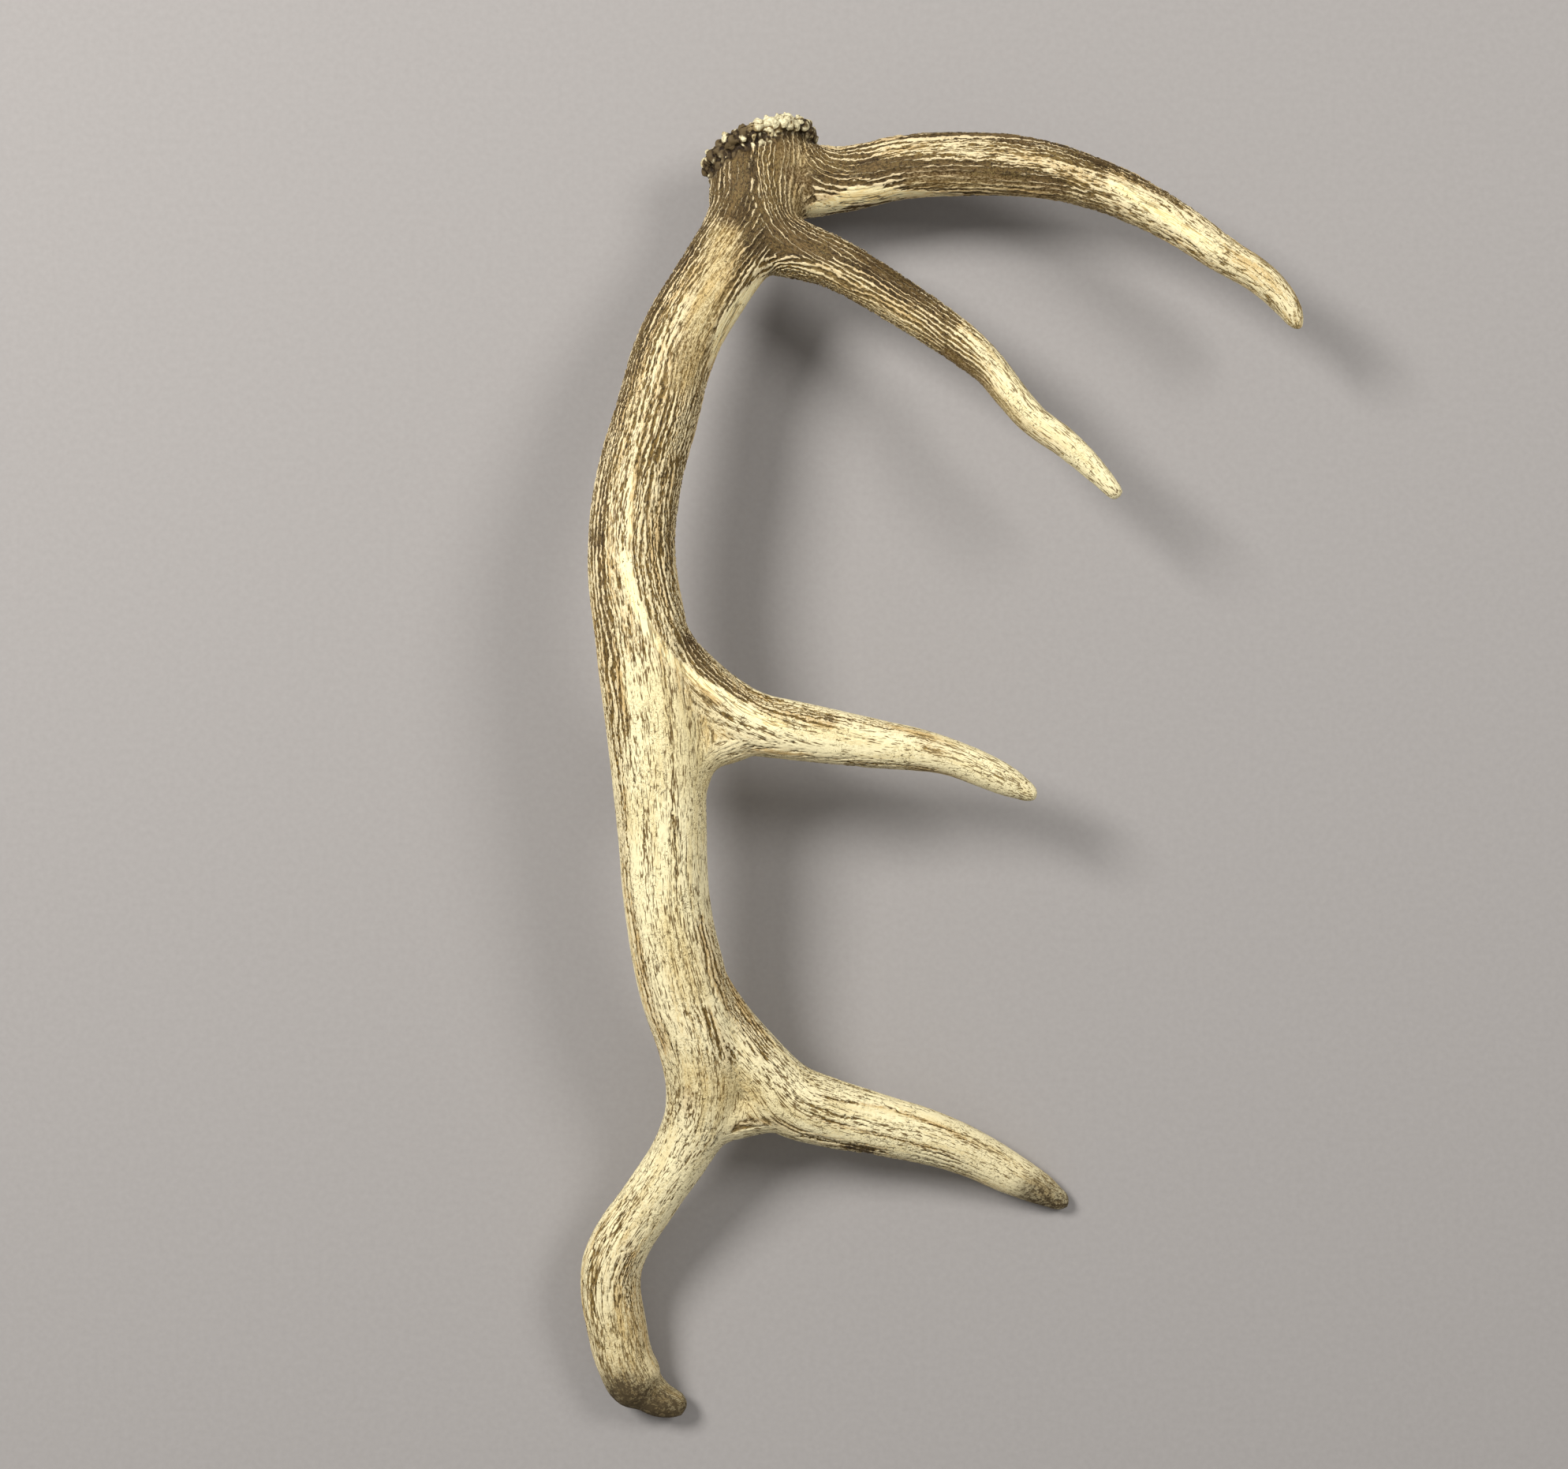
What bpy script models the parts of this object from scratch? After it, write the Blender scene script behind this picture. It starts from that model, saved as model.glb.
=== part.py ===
"""A cast left antler of a red deer, lying on its inner side.

Run it with: blender --background --python part.py

The antler is grown from five strands, the main beam and four tines, each a tapered tube that starts
inside the beam and bends out of it. The strands, the burr and its pearls are fused into one skin,
the crotches are smoothed, and the skin is parted at the main forks.

Units are metres and +Z is up. The antler touches the plane z = 0 with the rim of its burr, the end of
the beam and the front point of the top fork. The origin is under the middle of its outline.
"""

import math

import bmesh
import bpy
from mathutils import Matrix, Vector

MM = 0.001

# ---------------------------------------------------------------- driving dimensions, in millimetres

# Every place below is measured from the head of the beam, and its height from the resting surface.
OUTLINE_MIDDLE = (99.3, -346.0)

# Rows of a strand: to the right, upwards, height over the surface, width across.
BEAM = (
    (0, 0, 31, 58),
    (3, -12, 36, 57),
    (1, -24, 41, 56),
    (-4, -44, 49, 48),
    (-22, -75, 59, 44),
    (-43, -113, 67, 44),
    (-54, -152, 73, 45),
    (-63, -187, 77, 46),
    (-67, -228, 80, 47),
    (-61, -275, 81, 50),
    (-54, -320, 80, 53),
    (-51, -371, 77, 48),
    (-48, -418, 72, 46),
    (-40, -460, 65, 48),
    (-29, -501, 56, 46),
    (-30, -528, 50, 40),
    (-40, -552, 43, 33),
    (-58, -580, 36, 31),
    (-79, -614, 28, 33),
    (-82, -629, 25, 33),
    (-79, -655, 20, 33),
    (-74, -677, 16, 32),
    (-67, -690, 14, 31),
    (-60, -697, 13, 20),
)
BEAM_END = (
    (-68, -687, 14, 24),
    (-57, -698, 12, 21),
    (-45, -703, 10, 15),
    (-41, -705, 9, 9),
)
BROW_TINE = (
    (-2, -11, 38, 34),
    (11, -16, 38, 40),
    (26, -18, 38, 42),
    (44, -18, 39, 37),
    (59, -16, 41, 35),
    (78, -12, 43, 35),
    (123, -11, 48, 35),
    (146, -13, 51, 33),
    (175, -20, 55, 29),
    (219, -40, 60, 24),
    (254, -64, 64, 20),
    (275, -78, 66, 18),
    (287, -91, 67, 15),
    (293, -101, 67, 10),
    (295, -105, 67, 5),
)
BEZ_TINE = (
    (-5, -27, 48, 27),
    (1, -44, 51, 33),
    (12, -55, 53, 35),
    (24, -60, 54, 32),
    (40, -66, 56, 29),
    (57, -75, 58, 27),
    (74, -86, 60, 26),
    (97, -102, 64, 24),
    (115, -116, 67, 22),
    (127, -127, 69, 19),
    (137, -140, 71, 18),
    (150, -155, 73, 17),
    (166, -167, 75, 16),
    (182, -182, 77, 13),
    (194, -195, 78, 9),
    (196, -197, 78, 5),
)
TREZ_TINE = (
    (-59, -252, 80, 28),
    (-52, -274, 80, 33),
    (-38, -296, 79, 39),
    (-19, -311, 78, 38),
    (0, -319, 77, 34),
    (17, -322, 76, 32),
    (42, -326, 75, 29),
    (67, -330, 73, 26),
    (88, -333, 71, 23),
    (105, -337, 70, 20),
    (123, -344, 69, 19),
    (138, -351, 68, 16),
    (149, -357, 67, 10),
    (152, -359, 67, 6),
)
FORK_TINE = (
    (-39, -450, 66, 35),
    (-24, -479, 58, 38),
    (-4, -505, 50, 40),
    (17, -525, 44, 40),
    (37, -533, 38, 38),
    (65, -541, 31, 34),
    (97, -550, 24, 30),
    (119, -559, 18, 27),
    (141, -571, 12, 24),
    (161, -582, 7, 18),
    (173, -589, 5, 11),
    (176, -590, 5, 6),
)

# Webs that fill the inner corners of the two upper forks.
TREZ_WEB = (
    (-45, -352, 78, 36),
    (-33, -332, 78, 32),
    (-10, -323, 77, 31),
)
FORK_WEB = (
    (-36, -540, 47, 32),
    (-19, -530, 46, 38),
    (3, -525, 44, 38),
)

# How deep each strand is, front to back, for a width of one.
BEAM_FLATNESS = 0.94
TINE_FLATNESS = 0.90

# The burr: its middle, its size over the pearls, the ring inside them, how it leans and turns, how far
# the seal face bulges, and the pearls: their size, how far they sink into the rim and wander along the
# beam, and how much they differ in size and in place.
BURR_PLACE = (1, -2, 32)
BURR_ACROSS = 73.0
BURR_DEPTH = 67.0
RING_THICKNESS = 10.0
RING_SET_BACK = 2.0
BURR_LEAN_DEG = 16.0
BURR_TURN_DEG = 22.0
SEAL_BULGE = 4.8
SEAL_SET_BACK = 4.0
PEARL_COUNT = 24
PEARL_SIZE = 9.0
PEARL_SINK = 0.75
PEARL_WANDER = 1.6
SIZE_SPREAD = 0.18
PLACE_SPREAD = 0.25

# Where the antler is parted: a place on each plane and its direction, away from the burr.
CUTS = {
    "brow": ((39, -18, 39), (1.0, 0.0, 0.1)),
    "bez": ((28, -58, 54), (0.86, -0.5, 0.08)),
    "beam_low": ((-23, -76, 59), (-0.45, -0.87, 0.2)),
    "trez": ((7, -320, 77), (0.99, -0.12, -0.05)),
    "beam_middle": ((-51, -356, 78), (0.02, -1.0, -0.05)),
    "fork": ((26, -525, 42), (0.9, -0.4, -0.2)),
    "beam_high": ((-36, -546, 46), (-0.55, -0.8, -0.2)),
}
PARTING_GAP = 0.3

# Colours of the bare surface, from the burr to the tips.
DARK_BROWN = (0.24, 0.17, 0.09)
WARM_BROWN = (0.31, 0.23, 0.13)
TAN = (0.42, 0.33, 0.19)
CREAM = (0.52, 0.43, 0.27)

# Each piece: its name, the cuts that it lies before and those that it lies beyond, seen from the burr,
# a place inside it, and its colour.
PIECES = (
    ("burr_base", ("brow", "bez", "beam_low"), (), (-4, -25, 42), DARK_BROWN),
    ("brow_tine", (), ("brow",), (123, -12, 48), WARM_BROWN),
    ("bez_tine", (), ("bez",), (97, -101, 64), WARM_BROWN),
    ("lower_beam", ("trez", "beam_middle"), ("beam_low",), (-67, -228, 80), TAN),
    ("trez_tine", (), ("trez",), (67, -330, 73), CREAM),
    ("upper_beam", ("fork", "beam_high"), ("beam_middle",), (-48, -418, 72), TAN),
    ("fork_tine", (), ("fork",), (97, -550, 28), CREAM),
    ("beam_tip", (), ("beam_high",), (-79, -614, 30), CREAM),
)

# How the skin is made: its grain, the reach and strength of the smoothing round the crotches, the
# number of triangles that the solids are thinned to, and how near a cut a corner is moved onto it.
SKIN_GRAIN = 2.0
CROTCH_REACH = 42.0
CROTCH_PLACES = ((22, -40, 46), (5, -66, 56), (-5, -340, 76), (0, -545, 46), (-8, -295, 78), (20, -495, 52))
CROTCH_PASSES = 14
CROTCH_STRENGTH = 0.8
SKIN_PASSES = 3
SKIN_STRENGTH = 0.5
TRIANGLES = 7600
SNAP = 0.4
SHARP_DEG = 50


def place(x, y, z):
    """A place given from the burr, as a point of the model in metres."""
    return Vector((x - OUTLINE_MIDDLE[0], y - OUTLINE_MIDDLE[1], z)) * MM


def clear_scene():
    for old in list(bpy.data.objects):
        bpy.data.objects.remove(old, do_unlink=True)


def new_collection(name):
    found = bpy.data.collections.new(name)
    bpy.context.scene.collection.children.link(found)
    return found


def hide_guide(guide):
    guide.hide_render = True
    guide.display_type = "WIRE"


# ---------------------------------------------------------------- strands, burr and pearls


def oval_profile(name, flatness, guides):
    """An oval of half-width 1, which a strand's own radius scales."""
    data = bpy.data.curves.new(name, "CURVE")
    data.dimensions = "2D"
    data.fill_mode = "NONE"
    data.resolution_u = 6
    spline = data.splines.new("BEZIER")
    spline.bezier_points.add(3)
    for index, point in enumerate(spline.bezier_points):
        turn = index * math.pi / 2
        point.co = (math.cos(turn), flatness * math.sin(turn), 0)
        point.handle_left_type = "AUTO"
        point.handle_right_type = "AUTO"
    spline.use_cyclic_u = True
    profile = bpy.data.objects.new(name, data)
    guides.objects.link(profile)
    hide_guide(profile)
    return profile


def grow_strand(name, rows, profile, guides):
    """A tapered tube through the rows."""
    data = bpy.data.curves.new(name, "CURVE")
    data.dimensions = "3D"
    data.twist_mode = "Z_UP"
    data.resolution_u = 6
    data.bevel_mode = "OBJECT"
    data.bevel_object = profile
    data.use_fill_caps = True
    spline = data.splines.new("BEZIER")
    spline.radius_interpolation = "CARDINAL"
    spline.bezier_points.add(len(rows) - 1)
    for point, (x, y, z, width) in zip(spline.bezier_points, rows):
        point.co = place(x, y, z)
        point.radius = width / 2 * MM
        point.handle_left_type = "AUTO"
        point.handle_right_type = "AUTO"
    strand = bpy.data.objects.new(name, data)
    guides.objects.link(strand)
    hide_guide(strand)
    return strand


def burr_frame():
    """The burr's own axes: its Z points out of the seal face, away from the beam."""
    turn = Matrix.Rotation(math.radians(BURR_TURN_DEG), 4, "Z")
    lean = Matrix.Rotation(math.radians(-90 - BURR_LEAN_DEG), 4, "X")
    return Matrix.Translation(place(*BURR_PLACE)) @ turn @ lean


def burr_ring(guides):
    """The collar of the burr: a flattened ring round the root of the beam."""
    thick = RING_THICKNESS / 2
    bpy.ops.mesh.primitive_torus_add(
        major_segments=48,
        minor_segments=14,
        major_radius=(BURR_ACROSS / 2 - RING_SET_BACK - thick) * MM,
        minor_radius=thick * MM,
    )
    ring = bpy.context.object
    ring.name = "burr_ring_guide"
    squash = Matrix.Diagonal((1, BURR_DEPTH / BURR_ACROSS, 1, 1))
    ring.data.transform(burr_frame() @ squash)
    move_to(ring, guides)
    return ring


def seal_face(guides):
    """The rough, slightly domed face that the antler was shed from."""
    across = BURR_ACROSS / 2 - SEAL_SET_BACK
    bpy.ops.mesh.primitive_uv_sphere_add(segments=32, ring_count=16, radius=across * MM)
    seal = bpy.context.object
    seal.name = "seal_guide"
    squash = Matrix.Diagonal((1, BURR_DEPTH / BURR_ACROSS, SEAL_BULGE / across, 1))
    seal.data.transform(burr_frame() @ squash)
    move_to(seal, guides)
    return seal


def burr_pearls(guides):
    """The pearls round the rim, uneven in size and place by a fixed rule."""
    skin = bmesh.new()
    frame = burr_frame()
    for index in range(PEARL_COUNT):
        uneven = math.sin(index * 2.4) + 0.6 * math.sin(index * 5.1 + 1)
        turn = 2 * math.pi * (index + PLACE_SPREAD * uneven) / PEARL_COUNT
        radius = PEARL_SIZE * (1 + SIZE_SPREAD * uneven) / 2
        reach_x = BURR_ACROSS / 2 - radius * PEARL_SINK
        reach_y = BURR_DEPTH / 2 - radius * PEARL_SINK
        along = PEARL_WANDER * math.sin(index * 3.7)
        spot = Vector((reach_x * math.cos(turn), reach_y * math.sin(turn), along)) * MM
        matrix = frame @ Matrix.Translation(spot)
        bmesh.ops.create_icosphere(skin, subdivisions=2, radius=radius * MM, matrix=matrix)
    data = bpy.data.meshes.new("pearl_guide")
    skin.to_mesh(data)
    skin.free()
    pearls = bpy.data.objects.new("pearl_guide", data)
    guides.objects.link(pearls)
    hide_guide(pearls)
    return pearls


def move_to(thing, collection):
    for old in list(thing.users_collection):
        old.objects.unlink(thing)
    collection.objects.link(thing)
    hide_guide(thing)


# ---------------------------------------------------------------- fusing and parting


def evaluated_mesh(thing):
    bpy.context.view_layer.update()
    graph = bpy.context.evaluated_depsgraph_get()
    return bpy.data.meshes.new_from_object(thing.evaluated_get(graph))


def bake_modifiers(thing):
    """Makes the shape that the modifiers give the object's own mesh."""
    data = evaluated_mesh(thing)
    thing.modifiers.clear()
    thing.data = data


def fuse(strands, guides):
    """One skin round all the strands, the burr and the pearls."""
    skin = bmesh.new()
    for strand in strands:
        skin.from_mesh(evaluated_mesh(strand))
    bmesh.ops.remove_doubles(skin, verts=skin.verts, dist=0.01 * MM)
    data = bpy.data.meshes.new("antler_skin")
    skin.to_mesh(data)
    skin.free()
    whole = bpy.data.objects.new("antler_skin", data)
    guides.objects.link(whole)
    hide_guide(whole)
    remesh = whole.modifiers.new("fuse", "REMESH")
    remesh.mode = "VOXEL"
    remesh.voxel_size = SKIN_GRAIN * MM
    bake_modifiers(whole)
    return whole


def soften_crotches(whole):
    """Smooths the skin, most of all where tines leave the beam."""
    near = whole.vertex_groups.new(name="crotches")
    crotches = [place(*spot) for spot in CROTCH_PLACES]
    for vertex in whole.data.vertices:
        away = min((vertex.co - spot).length for spot in crotches)
        near.add([vertex.index], max(0.0, 1 - away / (CROTCH_REACH * MM)), "REPLACE")
    local = whole.modifiers.new("soften_crotches", "SMOOTH")
    local.factor = CROTCH_STRENGTH
    local.iterations = CROTCH_PASSES
    local.vertex_group = near.name
    overall = whole.modifiers.new("soften_skin", "SMOOTH")
    overall.factor = SKIN_STRENGTH
    overall.iterations = SKIN_PASSES
    bake_modifiers(whole)


def thin_out(whole):
    """Brings the skin down to the number of triangles that the solids may have."""
    now = 2 * len(whole.data.polygons)
    fewer = whole.modifiers.new("thin_out", "DECIMATE")
    fewer.ratio = TRIANGLES / now
    bake_modifiers(whole)


def cut_off(skin, spot, outward):
    """Removes what lies beyond the plane and closes the cut with a flat face."""
    outward = outward.normalized()
    for vertex in skin.verts:
        beyond = (vertex.co - spot).dot(outward)
        if abs(beyond) < SNAP * MM:
            vertex.co -= outward * beyond
    everything = skin.verts[:] + skin.edges[:] + skin.faces[:]
    bmesh.ops.bisect_plane(
        skin, geom=everything, dist=1e-6, plane_co=spot, plane_no=outward, clear_outer=True
    )
    rim = [edge for edge in skin.edges if edge.is_boundary]
    if rim:
        bmesh.ops.holes_fill(skin, edges=rim, sides=0)


def keep_island(skin, inside):
    """Keeps only the connected part that is nearest to a place."""
    start = min(skin.verts, key=lambda vertex: (vertex.co - inside).length)
    found = {start}
    fresh = [start]
    while fresh:
        vertex = fresh.pop()
        for edge in vertex.link_edges:
            other = edge.other_vert(vertex)
            if other not in found:
                found.add(other)
                fresh.append(other)
    rest = [vertex for vertex in skin.verts if vertex not in found]
    bmesh.ops.delete(skin, geom=rest, context="VERTS")


def part_piece(name, whole, before, beyond, inside, colour, pieces):
    """One piece of the skin, closed by flat faces at the surface below it and at its cuts."""
    skin = bmesh.new()
    skin.from_mesh(whole.data)
    bmesh.ops.triangulate(skin, faces=skin.faces[:])
    cut_off(skin, Vector((0, 0, 0)), Vector((0, 0, -1)))
    for cut in before + beyond:
        spot, direction = CUTS[cut]
        outward = Vector(direction).normalized()
        if cut in beyond:
            outward.negate()
        cut_off(skin, place(*spot) - outward * (PARTING_GAP / 2 * MM), outward)
    keep_island(skin, place(*inside))
    bmesh.ops.triangulate(skin, faces=skin.faces[:])
    bmesh.ops.recalc_face_normals(skin, faces=skin.faces[:])
    data = bpy.data.meshes.new(name)
    skin.to_mesh(data)
    skin.free()
    data.shade_smooth()
    data.set_sharp_from_angle(angle=math.radians(SHARP_DEG))
    data.materials.append(antler_material(name, colour))
    piece = bpy.data.objects.new(name, data)
    pieces.objects.link(piece)


def antler_material(name, colour):
    material = bpy.data.materials.new(name + "_surface")
    material.use_nodes = True
    shader = material.node_tree.nodes["Principled BSDF"]
    shader.inputs["Base Color"].default_value = (*colour, 1)
    shader.inputs["Roughness"].default_value = 0.55
    shader.inputs["Metallic"].default_value = 0.0
    return material


def main():
    clear_scene()
    pieces = new_collection("deer_antler")
    guides = new_collection("guides")
    beam_oval = oval_profile("beam_oval", BEAM_FLATNESS, guides)
    tine_oval = oval_profile("tine_oval", TINE_FLATNESS, guides)
    strands = [
        grow_strand("beam_guide", BEAM, beam_oval, guides),
        grow_strand("beam_end_guide", BEAM_END, beam_oval, guides),
        grow_strand("brow_guide", BROW_TINE, tine_oval, guides),
        grow_strand("bez_guide", BEZ_TINE, tine_oval, guides),
        grow_strand("trez_guide", TREZ_TINE, tine_oval, guides),
        grow_strand("fork_guide", FORK_TINE, tine_oval, guides),
        grow_strand("trez_web_guide", TREZ_WEB, tine_oval, guides),
        grow_strand("fork_web_guide", FORK_WEB, tine_oval, guides),
        burr_ring(guides),
        seal_face(guides),
        burr_pearls(guides),
    ]
    whole = fuse(strands, guides)
    soften_crotches(whole)
    thin_out(whole)
    for name, before, beyond, inside, colour in PIECES:
        part_piece(name, whole, before, beyond, inside, colour, pieces)


main()
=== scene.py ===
"""A cast left antler of a red deer, lying on its inner side on a pale table and seen from straight above.

The antler is grown again from the strands of its solid, much finer. Every point of its skin gets a place
in the grain of the strand that it belongs to, so that ridges, streaks and grooves follow the beam and
bend out into the tines. The skin is then parted where the solids are parted.
"""

import math

import bmesh
import bpy
import numpy as np
from mathutils import Matrix, Vector


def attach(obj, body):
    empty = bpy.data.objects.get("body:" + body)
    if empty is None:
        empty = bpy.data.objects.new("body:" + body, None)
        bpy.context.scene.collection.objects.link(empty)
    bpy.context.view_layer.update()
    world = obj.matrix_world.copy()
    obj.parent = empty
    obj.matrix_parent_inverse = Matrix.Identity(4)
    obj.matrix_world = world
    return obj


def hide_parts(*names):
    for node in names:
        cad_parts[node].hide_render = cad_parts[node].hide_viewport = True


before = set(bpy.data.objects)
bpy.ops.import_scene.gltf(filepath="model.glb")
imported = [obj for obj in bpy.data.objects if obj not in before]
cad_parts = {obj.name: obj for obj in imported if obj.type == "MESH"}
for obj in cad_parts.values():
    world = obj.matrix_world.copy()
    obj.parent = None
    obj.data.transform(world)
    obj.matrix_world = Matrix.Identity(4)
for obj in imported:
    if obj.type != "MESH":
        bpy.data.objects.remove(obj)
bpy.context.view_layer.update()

MM = 0.001

# -------- the solid's own sizes, in millimetres

# Places are measured from the head of the beam: to the right, upwards, and height over the table.
# The middle of the outline lies at the middle of the scene.
OUTLINE_MIDDLE = (99.3, -346.0)

# Rows of a strand: right, up, height, width across.
BEAM = (
    (0, 0, 31, 58), (3, -12, 36, 57), (1, -24, 41, 56), (-4, -44, 49, 48), (-22, -75, 59, 44),
    (-43, -113, 67, 44), (-54, -152, 73, 45), (-63, -187, 77, 46), (-67, -228, 80, 47),
    (-61, -275, 81, 50), (-54, -320, 80, 53), (-51, -371, 77, 48), (-48, -418, 72, 46),
    (-40, -460, 65, 48), (-29, -501, 56, 46), (-30, -528, 50, 40), (-40, -552, 43, 33),
    (-58, -580, 36, 31), (-79, -614, 28, 33), (-82, -629, 25, 33), (-79, -655, 20, 33),
    (-74, -677, 16, 32), (-67, -690, 14, 31), (-60, -697, 13, 20),
)
BEAM_END = (
    (-68, -687, 14, 24), (-57, -698, 12, 21), (-45, -703, 10, 15), (-41, -705, 9, 9),
)
BROW_TINE = (
    (-2, -11, 38, 34), (11, -16, 38, 40), (26, -18, 38, 42), (44, -18, 39, 37), (59, -16, 41, 35),
    (78, -12, 43, 35), (123, -11, 48, 35), (146, -13, 51, 33), (175, -20, 55, 29),
    (219, -40, 60, 24), (254, -64, 64, 20), (275, -78, 66, 18), (287, -91, 67, 15),
    (293, -101, 67, 10), (295, -105, 67, 5),
)
BEZ_TINE = (
    (-5, -27, 48, 27), (1, -44, 51, 33), (12, -55, 53, 35), (24, -60, 54, 32), (40, -66, 56, 29),
    (57, -75, 58, 27), (74, -86, 60, 26), (97, -102, 64, 24), (115, -116, 67, 22),
    (127, -127, 69, 19), (137, -140, 71, 18), (150, -155, 73, 17), (166, -167, 75, 16),
    (182, -182, 77, 13), (194, -195, 78, 9), (196, -197, 78, 5),
)
TREZ_TINE = (
    (-59, -252, 80, 28), (-52, -274, 80, 33), (-38, -296, 79, 39), (-19, -311, 78, 38),
    (0, -319, 77, 34), (17, -322, 76, 32), (42, -326, 75, 29), (67, -330, 73, 26),
    (88, -333, 71, 23), (105, -337, 70, 20), (123, -344, 69, 19), (138, -351, 68, 16),
    (149, -357, 67, 10), (152, -359, 67, 6),
)
FORK_TINE = (
    (-39, -450, 66, 35), (-24, -479, 58, 38), (-4, -505, 50, 40), (17, -525, 44, 40),
    (37, -533, 38, 38), (65, -541, 31, 34), (97, -550, 24, 30), (119, -559, 18, 27),
    (141, -571, 12, 24), (161, -582, 7, 18), (173, -589, 5, 11), (176, -590, 5, 6),
)
TREZ_WEB = (
    (-45, -352, 78, 36), (-33, -332, 78, 32), (-10, -323, 77, 31),
)
FORK_WEB = (
    (-36, -540, 47, 32), (-19, -530, 46, 38), (3, -525, 44, 38),
)
BEAM_FLATNESS = 0.94
TINE_FLATNESS = 0.9

# Points between two rows, in a strand's tube and in its centre line.
TUBE_STEPS = 6
LINE_STEPS = 10

# The burr: its place and size, the ring round it, its lean and turn, and the dome of its seal face.
BURR_PLACE = (1, -2, 32)
BURR_ACROSS = 73.0
BURR_DEPTH = 67.0
RING_THICKNESS = 10.0
RING_SET_BACK = 2.0
BURR_LEAN_DEG = 16.0
BURR_TURN_DEG = 22.0
SEAL_BULGE = 4.8
SEAL_SET_BACK = 4.0

# Where the solids are parted: a place on each cut and the direction across it.
CUTS = {
    "brow": ((39, -18, 39), (1.0, 0.0, 0.1)),
    "bez": ((28, -58, 54), (0.86, -0.5, 0.08)),
    "beam_low": ((-23, -76, 59), (-0.45, -0.87, 0.2)),
    "trez": ((7, -320, 77), (0.99, -0.12, -0.05)),
    "beam_middle": ((-51, -356, 78), (0.02, -1.0, -0.05)),
    "fork": ((26, -525, 42), (0.9, -0.4, -0.2)),
    "beam_high": ((-36, -546, 46), (-0.55, -0.8, -0.2)),
}

# The core is fused at this grain, and smoothed round the crotches first and then all over.
CORE_GRAIN = 2.0
CROTCH_REACH = 42.0
CROTCH_PLACES = ((22, -40, 46), (5, -66, 56), (-5, -340, 76), (0, -545, 46), (-8, -295, 78), (20, -495, 52))
CROTCH_PASSES = 14
CROTCH_STRENGTH = 0.8
SKIN_PASSES = 3
SKIN_STRENGTH = 0.5

# -------- sizes that only the looks need

SKIN_GRAIN = 0.84

# How high the ridges stand over the grooves.
RIDGE_HEIGHT = 1.1

# The burr isn't round: where it is flatter, over what angle, and by how much.
DENT_TURN_DEG = 142.0
DENT_SPREAD_DEG = 34.0
DENT_DEPTH = 7.0

# Rows of pearls round the burr: how many, how far out from the rim and along the beam, size, seed.
PEARL_ROWS = (
    (25, -5.8, 1.0, 5.4, 3),
    (27, -6.8, -4.0, 5.0, 8),
    (30, -7.0, 3.6, 4.4, 13),
)

# -------- the camera, over the table

EYE = (14.9, -324.6, 1500.0)
# The picture shows this much from side to side, at this height over the table.
SEEN_WIDTH = 854.8
SEEN_HEIGHT = 60.0


def place(x, y, z):
    """Millimetres from the head of the beam, turned into a place in the scene."""
    return Vector((x - OUTLINE_MIDDLE[0], y - OUTLINE_MIDDLE[1], z)) * MM


# -------- the core: strands, burr and pearls


def read_array(source, name, width, kind=np.float32):
    """One property of everything in a list of Blender's, as rows of numbers."""
    values = np.empty(len(source) * width, kind)
    source.foreach_get(name, values)
    return values.reshape(-1, width).astype(float if kind == np.float32 else int)


def places_of(data):
    """Where the points of a mesh lie, in millimetres."""
    return read_array(data.vertices, "co", 3) / MM


def normals_of(data):
    """Which way the skin faces at the points of a mesh."""
    return read_array(data.vertex_normals, "vector", 3)


def new_object(name, data):
    """Puts an object of this data into the scene."""
    thing = bpy.data.objects.new(name, data)
    bpy.context.scene.collection.objects.link(thing)
    return thing


def evaluated_mesh(thing):
    """A new mesh of the object as its curve or its modifiers shape it."""
    bpy.context.view_layer.update()
    graph = bpy.context.evaluated_depsgraph_get()
    return bpy.data.meshes.new_from_object(thing.evaluated_get(graph))


def bake_modifiers(thing):
    """Makes what the modifiers give the object's own mesh."""
    data = evaluated_mesh(thing)
    thing.modifiers.clear()
    thing.data = data


def drop(thing):
    bpy.data.objects.remove(thing, do_unlink=True)


def oval_profile(flatness):
    """The outline across a strand: an oval with a half width of 1."""
    data = bpy.data.curves.new("oval", "CURVE")
    data.dimensions = "2D"
    data.fill_mode = "NONE"
    data.resolution_u = 8
    spline = data.splines.new("BEZIER")
    spline.bezier_points.add(3)
    for index, point in enumerate(spline.bezier_points):
        turn = index * math.pi / 2
        point.co = (math.cos(turn), flatness * math.sin(turn), 0)
        point.handle_left_type = "AUTO"
        point.handle_right_type = "AUTO"
    spline.use_cyclic_u = True
    return new_object("oval", data)


def strand_curve(rows, profile, steps):
    """A curve through the rows; with a profile it is a tapered tube, and without one a centre line."""
    data = bpy.data.curves.new("strand", "CURVE")
    data.dimensions = "3D"
    data.twist_mode = "Z_UP"
    data.resolution_u = steps
    if profile:
        data.bevel_mode = "OBJECT"
        data.bevel_object = profile
        data.use_fill_caps = True
    spline = data.splines.new("BEZIER")
    spline.radius_interpolation = "CARDINAL"
    spline.bezier_points.add(len(rows) - 1)
    for point, (x, y, z, width) in zip(spline.bezier_points, rows):
        point.co = place(x, y, z)
        point.radius = width / 2 * MM
        point.handle_left_type = "AUTO"
        point.handle_right_type = "AUTO"
    return new_object("strand", data)


def burr_frame():
    """The burr's own axes: its Z points out of the seal face, away from the beam."""
    turn = Matrix.Rotation(math.radians(BURR_TURN_DEG), 4, "Z")
    lean = Matrix.Rotation(math.radians(-90 - BURR_LEAN_DEG), 4, "X")
    return Matrix.Translation(place(*BURR_PLACE)) @ turn @ lean


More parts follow.
